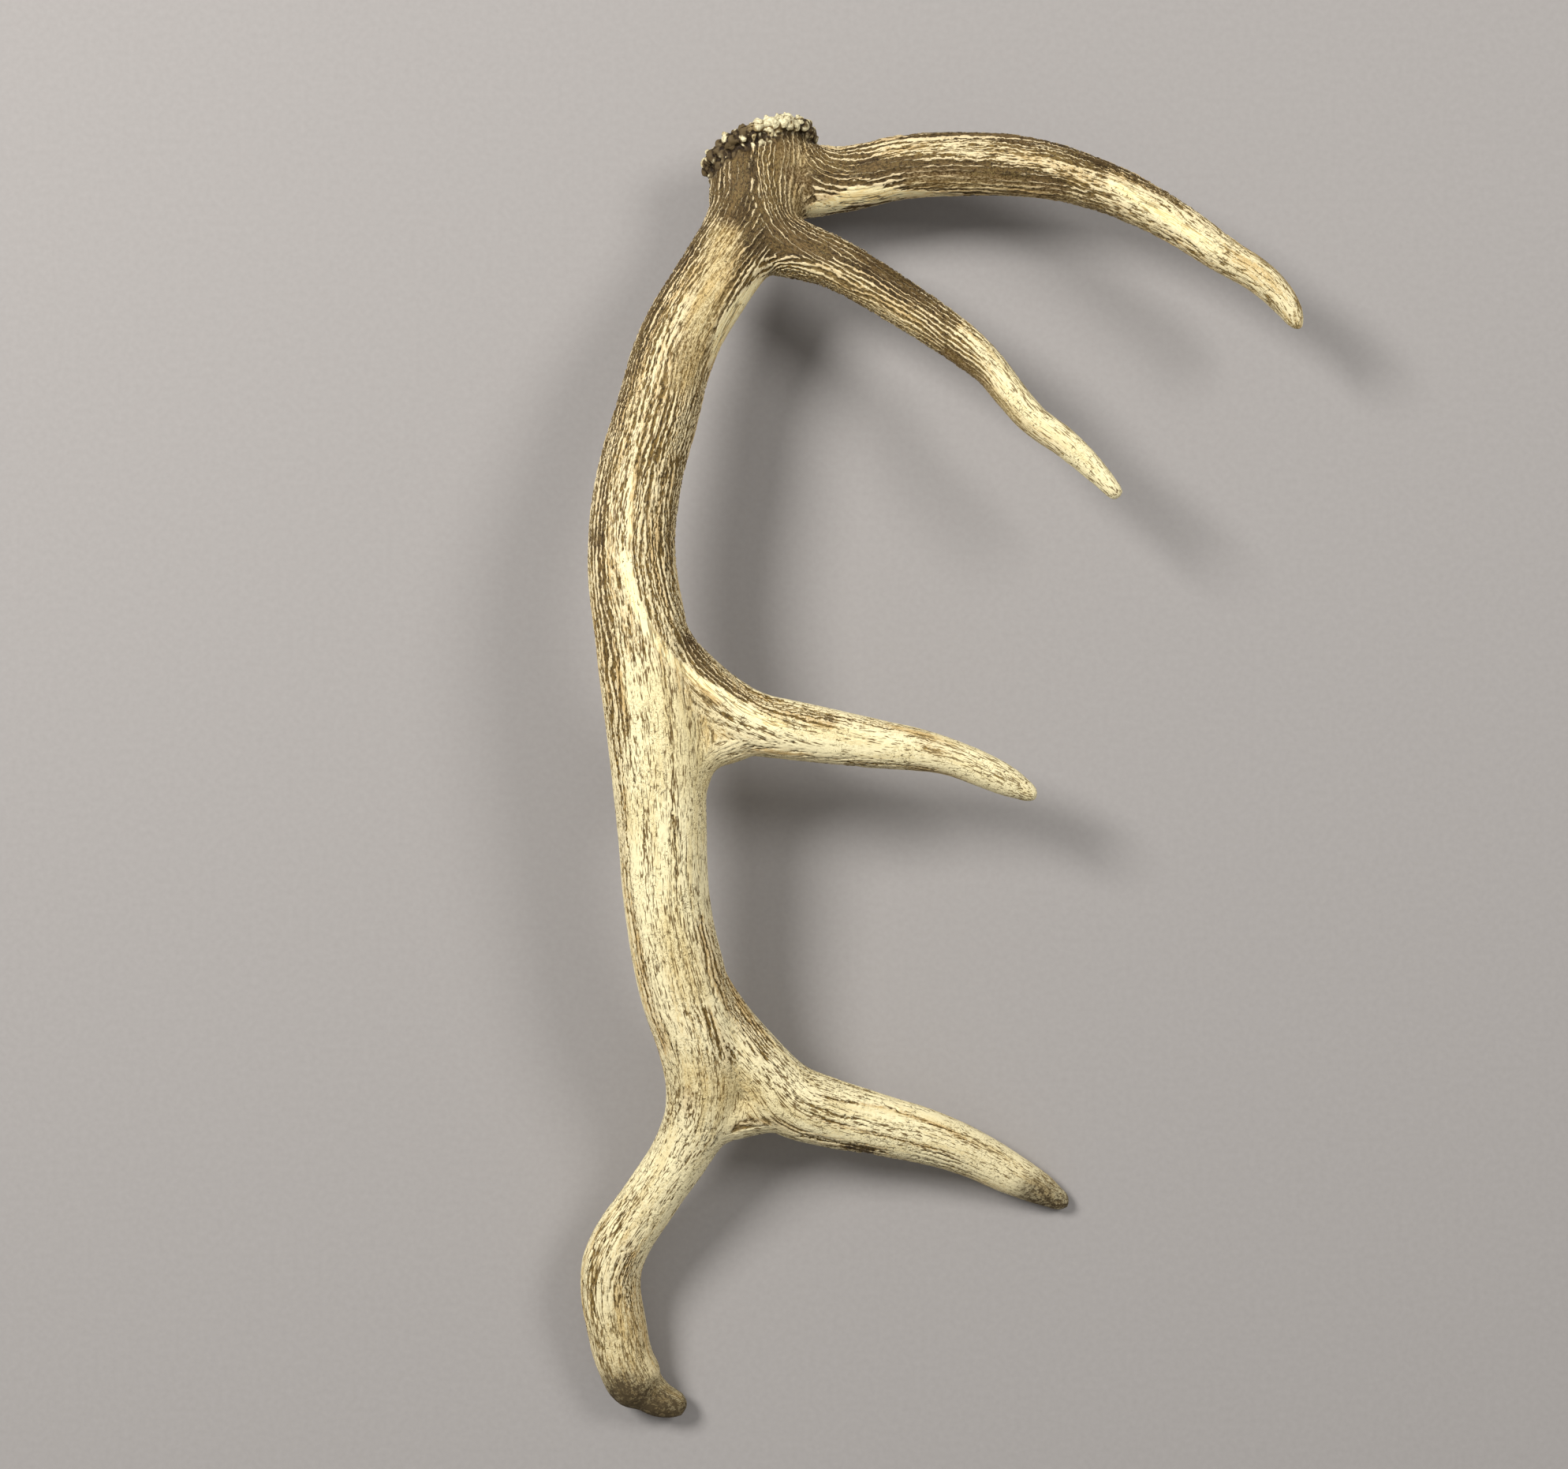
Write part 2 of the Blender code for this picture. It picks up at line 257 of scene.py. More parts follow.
def dent(data):
    """The collar is flatter on the side that is seen at its upper left."""
    spots = read_array(data.vertices, "co", 3)
    turn = np.arctan2(spots[:, 1], spots[:, 0]) - math.radians(DENT_TURN_DEG)
    turn = np.arctan2(np.sin(turn), np.cos(turn))
    share = np.exp(-((turn / math.radians(DENT_SPREAD_DEG)) ** 2)) * DENT_DEPTH * MM
    reach = np.hypot(spots[:, 0], spots[:, 1])
    spots[:, :2] *= (1 - share / np.maximum(reach, MM))[:, None]
    data.vertices.foreach_set("co", spots.astype(np.float32).ravel())


def burr_core():
    """The collar of the burr and the face that the antler was shed from."""
    thick = RING_THICKNESS / 2
    bpy.ops.mesh.primitive_torus_add(
        major_segments=72,
        minor_segments=20,
        major_radius=(BURR_ACROSS / 2 - RING_SET_BACK - thick) * MM,
        minor_radius=thick * MM,
    )
    ring = bpy.context.object
    across = BURR_ACROSS / 2 - SEAL_SET_BACK
    bpy.ops.mesh.primitive_uv_sphere_add(segments=48, ring_count=24, radius=across * MM)
    seal = bpy.context.object
    for thing, bulge in ((ring, 1), (seal, SEAL_BULGE / across)):
        thing.data.transform(Matrix.Diagonal((1, BURR_DEPTH / BURR_ACROSS, bulge, 1)))
        dent(thing.data)
        thing.data.transform(burr_frame())
    return [ring, seal]


def joined(things, name):
    """One mesh object from several, which are removed."""
    skin = bmesh.new()
    for thing in things:
        skin.from_mesh(evaluated_mesh(thing))
    bmesh.ops.remove_doubles(skin, verts=skin.verts, dist=0.01 * MM)
    data = bpy.data.meshes.new(name)
    skin.to_mesh(data)
    skin.free()
    for thing in things:
        drop(thing)
    return new_object(name, data)


def remesh(thing, grain):
    """Fuses all that the object holds into one skin of even faces."""
    step = thing.modifiers.new("fuse", "REMESH")
    step.mode = "VOXEL"
    step.voxel_size = grain * MM
    bake_modifiers(thing)


def soften_crotches(whole):
    """Smooths the core, most of all where tines leave the beam."""
    near = whole.vertex_groups.new(name="crotches")
    crotches = [place(*spot) for spot in CROTCH_PLACES]
    for vertex in whole.data.vertices:
        away = min((vertex.co - spot).length for spot in crotches)
        near.add([vertex.index], max(0.0, 1 - away / (CROTCH_REACH * MM)), "REPLACE")
    local = whole.modifiers.new("soften_crotches", "SMOOTH")
    local.factor = CROTCH_STRENGTH
    local.iterations = CROTCH_PASSES
    local.vertex_group = near.name
    overall = whole.modifiers.new("soften_skin", "SMOOTH")
    overall.factor = SKIN_STRENGTH
    overall.iterations = SKIN_PASSES
    finer = whole.modifiers.new("finer", "SUBSURF")
    finer.levels = 1
    finer.render_levels = 1
    bake_modifiers(whole)


# -------- a small kit for node trees

# How far one seed moves noise: along the grain, and in space.
GRAIN_SEED_STEP = (17.3, 9.1, 5.7)
SPACE_SEED_STEP = (3.1, 7.7, 1.3)


def srgb(code):
    """A colour from its hexadecimal code, as the shader needs it."""
    parts = [int(code[i : i + 2], 16) / 255 for i in (0, 2, 4)]
    return (*[v / 12.92 if v <= 0.04045 else ((v + 0.055) / 1.055) ** 2.4 for v in parts], 1.0)


class Wiring:
    """Writes nodes into a tree.

    An input is given a number, a tuple, another node's output, or None to leave it alone. A name stands
    for a value that the skin's points carry, and at a colour's input for its hexadecimal code.
    """

    def __init__(self, tree, geometry):
        self.tree = tree
        self.geometry = geometry
        self.read = {}

    def node(self, kind, inputs=None, **settings):
        """A new node with its settings, and with its inputs given by name or by number."""
        made = self.tree.nodes.new(kind)
        for name, value in settings.items():
            setattr(made, name, value)
        for name, value in (inputs or {}).items():
            self.feed(made.inputs[name], value)
        return made

    def feed(self, socket, value):
        if isinstance(value, str) and socket.type == "VALUE":
            value = self.field(value)
        if isinstance(value, bpy.types.NodeSocket):
            self.tree.links.new(value, socket)
        elif value is not None:
            socket.default_value = srgb(value) if socket.type == "RGBA" else value

    def maths(self, operation, first, second=None, clamp=False):
        made = self.node("ShaderNodeMath", {0: first, 1: second}, operation=operation, use_clamp=clamp)
        return made.outputs[0]

    def times(self, first, second):
        return self.maths("MULTIPLY", first, second)

    def less(self, value, weight=1.0):
        """What is left of 1 when the weighted value is taken away."""
        taken = value if weight == 1.0 else self.times(value, weight)
        return self.maths("SUBTRACT", 1.0, taken)

    def off_middle(self, value):
        """How far noise is from its middle: next to nothing along thin winding lines."""
        return self.maths("ABSOLUTE", self.maths("SUBTRACT", value, 0.5))

    def vector(self, operation, *values):
        return self.node("ShaderNodeVectorMath", dict(enumerate(values)), operation=operation).outputs[0]

    def scaled(self, vector, factor):
        return self.node("ShaderNodeVectorMath", {0: vector, "Scale": factor}, operation="SCALE").outputs[0]

    def vector_of(self, *parts):
        """A vector from its parts; a part that is None stays 0."""
        return self.node("ShaderNodeCombineXYZ", dict(enumerate(parts))).outputs[0]

    def parts_of(self, vector):
        return self.node("ShaderNodeSeparateXYZ", {0: vector}).outputs

    def blend_of(self, terms, total=0.0):
        """The sum of the terms, each with its weight."""
        for value, weight in terms:
            inputs = {0: value, 1: weight, 2: total}
            total = self.node("ShaderNodeMath", inputs, operation="MULTIPLY_ADD").outputs[0]
        return total

    def step(self, value, low, high, to_low=0.0, to_high=1.0):
        """A smooth step of the value from low to high."""
        inputs = dict(enumerate((value, low, high, to_low, to_high)))
        return self.node("ShaderNodeMapRange", inputs, interpolation_type="SMOOTHSTEP").outputs[0]

    def mix(self, share, first, second):
        return self.node("ShaderNodeMix", {0: share, 2: first, 3: second}, data_type="FLOAT").outputs[0]

    def tint(self, share, first, second, blend="MIX"):
        """Two colours mixed."""
        inputs = {0: share, 6: first, 7: second}
        return self.node("ShaderNodeMix", inputs, data_type="RGBA", blend_type=blend).outputs[2]

    def field(self, name, vector=False):
        """A value that the skin's points carry."""
        if name not in self.read:
            if self.geometry:
                kind = "FLOAT_VECTOR" if vector else "FLOAT"
                made = self.node("GeometryNodeInputNamedAttribute", {"Name": name}, data_type=kind)
                self.read[name] = made.outputs[0]
            else:
                made = self.node("ShaderNodeAttribute", attribute_name=name)
                self.read[name] = made.outputs["Vector" if vector else "Fac"]
        return self.read[name]

    def noise(self, spot, detail=2.0, rough=0.5, bend=0.0):
        inputs = {"Vector": spot, "Scale": 1.0, "Detail": detail, "Roughness": rough, "Distortion": bend}
        return self.node("ShaderNodeTexNoise", inputs).outputs[0]

    def along_grain(self, strands, across, along, seed, detail=2.0, rough=0.5):
        """Noise stretched along the grain. Where strands meet, the noise of one fades into the next."""
        total = None
        shift = tuple(seed * part for part in GRAIN_SEED_STEP)
        for strand in strands:
            grain = self.field("grain_" + strand, vector=True)
            stretched = self.vector("MULTIPLY_ADD", grain, (across, across, along), shift)
            value = self.noise(stretched, detail, rough)
            total = value if total is None else self.mix("part_" + strand, total, value)
        return total


def geometry_tree(name, inputs):
    """An empty geometry node tree with these inputs, and the wiring for it."""
    tree = bpy.data.node_groups.new(name, "GeometryNodeTree")
    for socket, kind in inputs.items():
        tree.interface.new_socket(name=socket, in_out="INPUT", socket_type="NodeSocket" + kind)
    tree.interface.new_socket(name="Geometry", in_out="OUTPUT", socket_type="NodeSocketGeometry")
    return tree, Wiring(tree, True)


def grow(thing, tree, values):
    """Runs a geometry node tree on the object, with the tree's inputs set to the values."""
    ids = {item.name: item.identifier for item in tree.interface.items_tree if item.in_out == "INPUT"}
    step = thing.modifiers.new(tree.name, "NODES")
    step.node_group = tree
    for name, value in values.items():
        step[ids[name]] = value
    bake_modifiers(thing)


# -------- patterns of the skin

# The three grains that every point keeps, and how many ridges run round in each.
RIDGE_COUNT = {"beam": 42, "tine": 28, "bez": 26}
GRAINS = tuple(RIDGE_COUNT)


def slow_fields(w):
    """The wide patterns, which the skin's points carry: how ridges drift, and where which kind is found."""
    fields = {}
    for strand in GRAINS:
        grain = w.field("grain_" + strand, vector=True)
        drift = w.noise(w.vector("MULTIPLY", grain, (0.05, 0.05, 0.011)), 1.0)
        waver = w.noise(w.vector("MULTIPLY_ADD", grain, (0.16, 0.16, 0.045), (9.0, 4.0, 7.0)), 1.0)
        crinkle = w.noise(w.vector("MULTIPLY_ADD", grain, (0.5, 0.5, 0.28), (2.0, 8.0, 5.0)), 2.0, 0.6)
        fields["bend_" + strand] = w.blend_of(((drift, 20.0), (waver, 9.0), (crinkle, 6.5)))
    order = w.step(w.along_grain(GRAINS, 0.06, 0.006, 4, detail=0.0), 0.38, 0.6, 0.1, 0.6)
    order = w.maths("ADD", order, w.step("brown", 0.15, 0.95, 0.0, 0.7))
    fields["order"] = w.maths("ADD", order, "lined", clamp=True)
    fields["furrow"] = w.along_grain(GRAINS, 0.33, 0.05, 14, detail=1.0)
    fields["paired"] = w.step(w.along_grain(GRAINS, 0.12, 0.01, 6, detail=1.0), 0.44, 0.56)
    fields["bands"] = w.along_grain(GRAINS, 0.15, 0.01, 2, detail=2.0)
    fields["streak"] = w.along_grain(GRAINS, 0.2, 0.02, 11, detail=2.0)
    ragged = w.blend_of((("polish", 1.0), (fields["bands"], 1.0), (fields["streak"], 0.8)), -0.9)
    fields["polish"] = w.step(ragged, 0.15, 0.85)
    return fields


def ridges(w, strands):
    """1 on the crest of each ridge and 0 between two: they run along the grain, drift and crinkle."""
    total = None
    for strand in strands:
        x, y, _ = w.parts_of(w.field("grain_" + strand, vector=True))
        turn = w.maths("ARCTAN2", y, x)
        phase = w.blend_of(((turn, RIDGE_COUNT[strand]), ("bend_" + strand, 1.0)))
        wave = phase_wave(w, phase)
        total = wave if total is None else w.mix("part_" + strand, total, wave)
    return total


def phase_wave(w, phase):
    """One ridge for each turn of the phase, or where ridges are paired a high one and a low one."""
    single = w.maths("COSINE", phase)
    double = w.maths("COSINE", w.blend_of(((phase, 2.0),), 0.8))
    paired = w.blend_of(((single, 0.16), (double, 0.34)), 0.5)
    return w.mix("paired", w.blend_of(((single, 0.5),), 0.5), paired)


def maze(w, strands):
    """Fine crests of an irregular kind, which run together and part again."""
    away = w.off_middle(w.along_grain(strands, 0.55, 0.105, 1, detail=1.0))
    return w.blend_of(((away, -4.4),), 1.0)


def cream_cover(w, strands, soft):
    """How far a point stands up as a pale ridge (1) or lies in a brown groove (0), and its raw height."""
    plates = w.maths("MINIMUM", w.times(w.off_middle("furrow"), 7.0), 0.85)
    wild = w.mix(w.step("brown", 0.25, 0.6), plates, maze(w, strands))
    lines = w.mix("order", wild, ridges(w, strands))
    dashes = w.along_grain(strands, 1.05, 0.11, 3, detail=2.0, rough=0.6)
    pits = w.along_grain(strands, 1.9, 0.5, 5, detail=1.0)
    uneven = w.blend_of(((dashes, 0.65), (pits, 0.75)), -0.7)
    uneven = w.times(uneven, w.blend_of((("brown", -0.5), ("lined", -0.4)), 1.0))
    level = w.blend_of((("brown", 0.92), ("bands", 0.85)), -0.47)
    above = w.maths("SUBTRACT", w.maths("ADD", lines, uneven), level)
    above = w.blend_of((("polish", 0.9),), above)
    raised = w.step(above, -soft, soft)
    crack = w.off_middle(w.along_grain(strands, 0.16, 0.018, 9, detail=3.0, rough=0.6))
    cracked = w.times(raised, w.step(crack, 0.006, 0.02, 0.25, 1.0))
    return w.mix("polish", raised, cracked), above


def burr_lobes(w):
    """Cells packed round the burr, longer along the beam than across it."""
    spot = w.field("burr_place", vector=True)
    bent = w.noise(w.vector("MULTIPLY", spot, (0.22,) * 3), 2.0)
    stretched = w.vector("MULTIPLY", spot, (0.22, 0.22, 0.13))
    cells = w.node("ShaderNodeTexVoronoi", {"Vector": w.vector("ADD", stretched, bent), "Scale": 1.0})
    return cells.outputs


# -------- rows of pearls, by geometry nodes


def pearl_row_tree(material):
    """A ring of pearls of uneven size, place and turn."""
    kinds = {"Count": "Int", "Ring Across": "Float", "Ring Depth": "Float"}
    kinds |= {"Along": "Float", "Pearl Size": "Float", "Seed": "Int"}
    tree, w = geometry_tree("pearl_row", kinds)
    given = w.node("NodeGroupInput").outputs

    def random_vector(spread, shift, middle=0.0):
        low = tuple(middle - v for v in spread)
        high = tuple(middle + v for v in spread)
        inputs = {0: low, 1: high, "Seed": w.maths("ADD", given["Seed"], shift)}
        return w.node("FunctionNodeRandomValue", inputs, data_type="FLOAT_VECTOR").outputs[0]

    circle = w.node("GeometryNodeCurvePrimitiveCircle", {"Resolution": given["Count"], "Radius": 1.0})
    points = w.node("GeometryNodeCurveToPoints", {"Curve": circle.outputs[0]}, mode="EVALUATED")
    reach = w.vector_of(given["Ring Across"], given["Ring Depth"])
    ring = w.vector("MULTIPLY", w.node("GeometryNodeInputPosition").outputs[0], reach)
    ring = w.vector("ADD", ring, w.vector_of(None, None, given["Along"]))
    jitter = w.scaled(random_vector((0.33, 0.33, 0.33), 1), given["Pearl Size"])
    spot = w.vector("ADD", ring, jitter)
    move = w.node("GeometryNodeSetPosition", {"Geometry": points.outputs[0], "Position": spot})
    ball = w.node("GeometryNodeMeshIcoSphere", {"Radius": 0.5, "Subdivisions": 3})
    lump = w.vector("MULTIPLY", random_vector((0.4, 0.4, 0.4), 3, 1.0), (0.95, 0.8, 1.45))
    inputs = {
        "Points": move.outputs[0],
        "Instance": ball.outputs[0],
        "Rotation": random_vector((0.5, 0.5, 3.1), 2),
        "Scale": w.scaled(lump, given["Pearl Size"]),
    }
    spread = w.node("GeometryNodeInstanceOnPoints", inputs)
    real = w.node("GeometryNodeRealizeInstances", {0: spread.outputs[0]})
    coat = w.node("GeometryNodeSetMaterial", {"Geometry": real.outputs[0], "Material": material})
    w.node("NodeGroupOutput", {0: coat.outputs[0]})
    return tree


def pearl_rows(material):
    tree = pearl_row_tree(material)
    rows = []
    for count, out, along, size, seed in PEARL_ROWS:
        row = new_object("pearls", bpy.data.meshes.new("pearls"))
        values = {
            "Count": count,
            "Ring Across": (BURR_ACROSS / 2 + out) * MM,
            "Ring Depth": (BURR_DEPTH / 2 + out) * MM,
            "Along": along * MM,
            "Pearl Size": size * MM,
            "Seed": seed,
        }
        grow(row, tree, values)
        dent(row.data)
        row.data.transform(burr_frame())
        rows.append(row)
    return rows


# -------- the grain: unbent places along the strands

STRANDS = {
    "beam": BEAM + BEAM_END[2:],
    "brow": BROW_TINE,
    "bez": BEZ_TINE,
    "trez": TREZ_TINE,
    "fork": FORK_TINE,
}

# The grain runs as the strands do, but it enters each tine farther back. Three grains more lie in the webs.
GUIDES = {
    "beam": STRANDS["beam"],
    "brow": ((26, 10, 36, 26), (28, -2, 40, 28), (33, -11, 41, 34), (44, -16, 41, 36)) + BROW_TINE[4:],
    "bez": ((6, 14, 38, 40), (6, -6, 46, 42), (6, -26, 53, 42), (11, -43, 56, 38), (22, -55, 56, 34))
    + BEZ_TINE[4:],
    "trez": ((-52, -185, 80, 38), (-54, -222, 83, 40), (-47, -258, 82, 42), (-34, -286, 80, 42))
    + ((-16, -304, 78, 40), (4, -316, 77, 36))
    + TREZ_TINE[6:],
    "fork": ((-32, -436, 70, 38), (-26, -464, 65, 40), (-12, -490, 57, 42), (4, -510, 50, 42))
    + FORK_TINE[3:],
    "bez_web": (
        (-34, -142, 62, 26), (-20, -112, 60, 28), (-6, -86, 57, 30),
        (12, -70, 55, 30), (32, -72, 55, 28), (58, -84, 57, 24),
    ),
    "trez_web": (
        (-38, -408, 73, 26), (-36, -376, 77, 28), (-28, -350, 78, 30),
        (-8, -336, 77, 28), (20, -335, 76, 26), (52, -336, 74, 22),
    ),
    "fork_web": (
        (-66, -602, 30, 24), (-46, -574, 38, 26), (-26, -553, 44, 30),
        (0, -546, 44, 32), (30, -550, 39, 30), (62, -556, 32, 24),
    ),
}

# Beside the beam's grain, two more are kept at every point: the nearest one of each of these.
SLOTS = {"tine": ("brow", "trez", "fork", "bez_web"), "bez": ("bez", "trez_web", "fork_web")}

# Grains that share a slot read their noise this far apart.
GRAIN_APART = 700.0

# One grain fades into the next between these differences of their distances, counted in radii.
GRAIN_BORDER = (-0.1, 0.22)

# How sharply the shares of two strands part: the higher, the sharper.
SHARING = 6.0

# Points that are measured in one go, and how many of its own lengths the last stretch of a line goes on.
BLOCK = 50000
END_REACH = 9.0


def centre_line(rows):
    """The points of the curve through the rows, in millimetres."""
    line = strand_curve(rows, None, LINE_STEPS)
    data = evaluated_mesh(line)
    points = np.array([vertex.co for vertex in data.vertices]) / MM
    drop(line)
    return points


def carried_frames(points):
    """Directions along and across the line, carried along it without twisting."""
    steps = np.diff(points, axis=0)
    along = steps / np.linalg.norm(steps, axis=1)[:, None]
    tangent = np.vstack([along[:1], along[1:] + along[:-1], along[-1:]])
    tangent /= np.linalg.norm(tangent, axis=1)[:, None]
    side = np.cross(tangent[0], (0.0, 0.0, 1.0))
    sides = []
    for direction in tangent:
        side = side - direction * side.dot(direction)
        side /= np.linalg.norm(side)
        sides.append(side)
    sides = np.array(sides)
    return tangent, sides, np.cross(tangent, sides)


def unbent(spots, rows):
    """For each spot: its place across and along the straightened strand, and how far out it lies in radii."""
    line = centre_line(rows)
    tangent, side, front = carried_frames(line)
    steps = np.diff(line, axis=0)
    lengths = np.linalg.norm(steps, axis=1)
    travelled = np.concatenate([[0], np.cumsum(lengths)])
    nearest = np.empty(len(spots), int)
    for start in range(0, len(spots), BLOCK):
        block = spots[start : start + BLOCK]
        apart = (line**2).sum(1) - 2 * block @ line.T
        nearest[start : start + BLOCK] = apart.argmin(1)
    # The closer one of the two stretches of line that meet at the nearest point; the first and the last
    # stretch go on beyond the line's ends.
    last = len(steps) - 1
    segment = np.clip(nearest + np.array([[-1], [0]]), 0, last)
    share = ((spots - line[segment]) * steps[segment]).sum(2) / lengths[segment] ** 2
    least = np.where(segment == 0, -END_REACH, 0.0)
    most = np.where(segment == last, END_REACH, 1.0)
    share = np.clip(share, least, most)
    away = spots - (line[segment] + steps[segment] * share[:, :, None])
    closer = ((away**2).sum(2).argmin(0), np.arange(len(spots)))
    segment, share, away = segment[closer], share[closer], away[closer]
    part = np.clip(share, 0, 1)[:, None]
    across = side[segment] * (1 - part) + side[segment + 1] * part
    upward = front[segment] * (1 - part) + front[segment + 1] * part
    place_x = (away * across).sum(1)
    place_y = (away * upward).sum(1)
    place_s = travelled[segment] + share * lengths[segment]
    row_line = np.array([place(*row[:3]) for row in rows]) / MM
    row_travel = [travelled[((line - spot) ** 2).sum(1).argmin()] for spot in row_line]
    radius = np.interp(place_s, row_travel, [row[3] / 2 for row in rows])
    past_end = np.maximum(place_s - travelled[-1], 0) + np.maximum(-place_s, 0)
    out = np.sqrt(place_x**2 + place_y**2 + past_end**2) / radius
    return np.stack([place_x, place_y, place_s], axis=1), out


def smooth(value, low, high):
    """A smooth step of numbers from low to high."""
    share = np.clip((value - low) / (high - low), 0, 1)
    return share * share * (3 - 2 * share)


# -------- where the skin is brown, speckled or worn

# How brown the skin is along each strand: distance from its start, share of brown.
BROWN_ALONG = {
    "beam": (
        (0, 0.88), (60, 0.84), (110, 0.6), (170, 0.6), (215, 0.5), (300, 0.44),
        (380, 0.12), (520, 0.2), (600, 0.06), (650, 0.2), (700, 0.3), (740, 0.42),
    ),
    "brow": ((0, 0.84), (60, 0.84), (130, 0.82), (180, 0.82), (230, 0.66), (310, 0.56)),
    "bez": ((0, 0.88), (70, 0.9), (130, 0.94), (180, 0.72), (240, 0.14)),
    "trez": ((0, 0.66), (60, 0.62), (110, 0.46), (160, 0.2), (220, 0.12), (280, 0.0)),
    "fork": ((0, 0.16), (60, 0.06), (160, 0.02), (250, 0.22)),
}

# Where the ridges of each strand run out: distances from its start.
WORN_ALONG = {
    "beam": (700, 760),
    "brow": (215, 290),
    "bez": (170, 235),
    "trez": (190, 270),
    "fork": (170, 250),
}

# Strokes laid on as seen from above: how strong each one is, half its width, and its places.
BROWN_STROKES = (
    # the brow tine
    (0.25, 5, ((32, 4), (52, 3), (70, 4))),
    (0.22, 3, ((82, 3), (123, 4), (160, -1), (198, -15), (232, -35))),
    (0.27, 5, ((60, -16), (110, -17), (147, -21), (164, -27))),
    (-0.2, 5, ((69, -6), (92, -5), (129, -7), (159, -13), (177, -21), (197, -30), (220, -40), (250, -60))),
    (-0.12, 4, ((86, -23), (120, -25), (155, -31), (176, -36))),
    (-0.26, 11, ((200, -30), (232, -49), (275, -77), (293, -96))),
    (0.4, 3, ((184, -43), (205, -55), (224, -67), (250, -82))),
    # the bez tine
    (0.12, 3, ((60, -62), (90, -84), (110, -101))),
    (-0.35, 4, ((113, -104), (128, -118), (140, -135))),
    (0.55, 3.5, ((104, -117), (120, -129), (132, -144), (146, -157), (164, -170))),
    (-0.26, 7, ((4, -74), (28, -70), (52, -80), (84, -102))),
    (-0.2, 12, ((138, -144), (170, -170), (198, -191))),
    # the burr and the thick base
    (0.28, 6, ((-9, -8), (-10, -26), (-11, -42))),
    (0.14, 7, ((-19, -14), (-23, -36))),
    (-0.12, 6, ((6, -10), (9, -36))),
    (-0.1, 5, ((21, -12), (23, -36))),
    (-0.8, 6.5, ((4, 10), (17, 12))),
    (0.15, 9, ((-30, -12), (-14, 2))),
    (0.06, 6, ((24, 12), (33, 2))),
    (0.3, 4, ((20, -18), (27, -22))),
    (0.25, 6, ((0, -55), (16, -60), (36, -60))),
    # the lower beam and the trez tine
    (0.3, 6, ((-34, -49), (-55, -88), (-73, -131), (-84, -174), (-88, -217))),
    (0.3, 4, ((-88, -217), (-84, -260), (-77, -303), (-75, -346))),
    (-0.2, 8, ((-17, -54), (-22, -75), (-30, -100))),
    (0.15, 5, ((-26, -131), (-38, -182), (-43, -225))),
    (0.44, 4.5, ((-37, -274), (-25, -291), (-8, -304), (8, -311), (39, -317))),
    (0.3, 2.5, ((39, -316), (64, -319), (90, -325), (112, -335))),
    (-0.38, 13, ((-60, -296), (-48, -325), (-46, -370))),
    (-0.3, 6, ((-8, -313), (39, -328), (82, -333))),
    (0.2, 3, ((0, -334), (52, -340), (95, -345))),
    (0.26, 3, ((90, -328), (100, -335))),
    (0.3, 2.5, ((84, -342), (105, -346), (125, -351), (140, -357))),
    (-0.2, 8, ((116, -343), (151, -358))),
    # the upper beam
    (-0.2, 18, ((-51, -340), (-51, -419))),
    (0.4, 2.5, ((-74, -354), (-71, -406), (-60, -462), (-51, -496))),
    (0.45, 5, ((-29, -430), (-24, -447), (-18, -461), (-8, -478), (4, -497))),
    (0.16, 9, ((-24, -506), (-4, -525))),
    # the terminal fork and its front point
    (0.45, 3.5, ((-27, -478), (-22, -488), (-15, -500))),
    (0.6, 2, ((50, -550), (62, -554))),
    (0.4, 4, ((-38, -520), (-37, -527))),
    (0.55, 2.2, ((-12, -539), (-5, -536), (7, -535), (15, -537),
        (23, -541), (38, -546), (54, -549), (69, -552))),
    (0.4, 0.9, ((32, -521), (52, -525), (71, -528), (88, -534), (104, -540), (121, -550))),
    (0.4, 0.9, ((30, -533), (52, -539), (73, -544), (95, -550), (110, -556))),
    (0.3, 3, ((60, -553), (125, -575))),
    # the end of the beam
    (0.25, 6, ((-69, -612), (-56, -655))),
    (0.22, 2.5, ((-69, -600), (-72, -625), (-63, -664))),
)
SPECKLE_STROKES = (
    (0.55, 5, ((86, -22), (120, -24), (155, -30), (190, -41), (214, -52))),
    (0.45, 3.5, ((104, -118), (120, -131), (133, -146), (146, -158))),
    (0.3, 4.5, ((30, -74), (60, -90), (103, -119), (138, -150))),
    (0.6, 7, ((21, -8), (23, -36))),
    (0.85, 8, ((-17, -54), (-22, -75), (-30, -100), (-40, -131))),
    (0.6, 15, ((-52, -300), (-38, -322), (-34, -345))),
    (0.6, 9, ((-47, -430), (-34, -462))),
    (0.7, 12, ((-34, -512), (-13, -526))),
    (0.5, 9, ((-12, -513), (14, -532))),
    (0.55, 15, ((-74, -652), (-66, -682))),
)
POLISH_STROKES = (
    (1.0, 4.2, ((31, -39), (52, -31), (86, -29))),
    (0.9, 2.0, ((58, -32), (86, -30), (124, -32))),
    (0.6, 3.8, ((194, -24), (214, -36), (236, -51), (262, -70))),
    (1.0, 4, ((2, -80), (-6, -88), (-16, -103), (-28, -132))),
    (0.5, 2.0, ((-67, -180), (-69, -204), (-69, -234))),
    (0.8, 2.8, ((-72, -228), (-68, -249), (-59, -267), (-47, -284),
        (-31, -296), (-15, -306), (5, -317), (30, -325))),
)
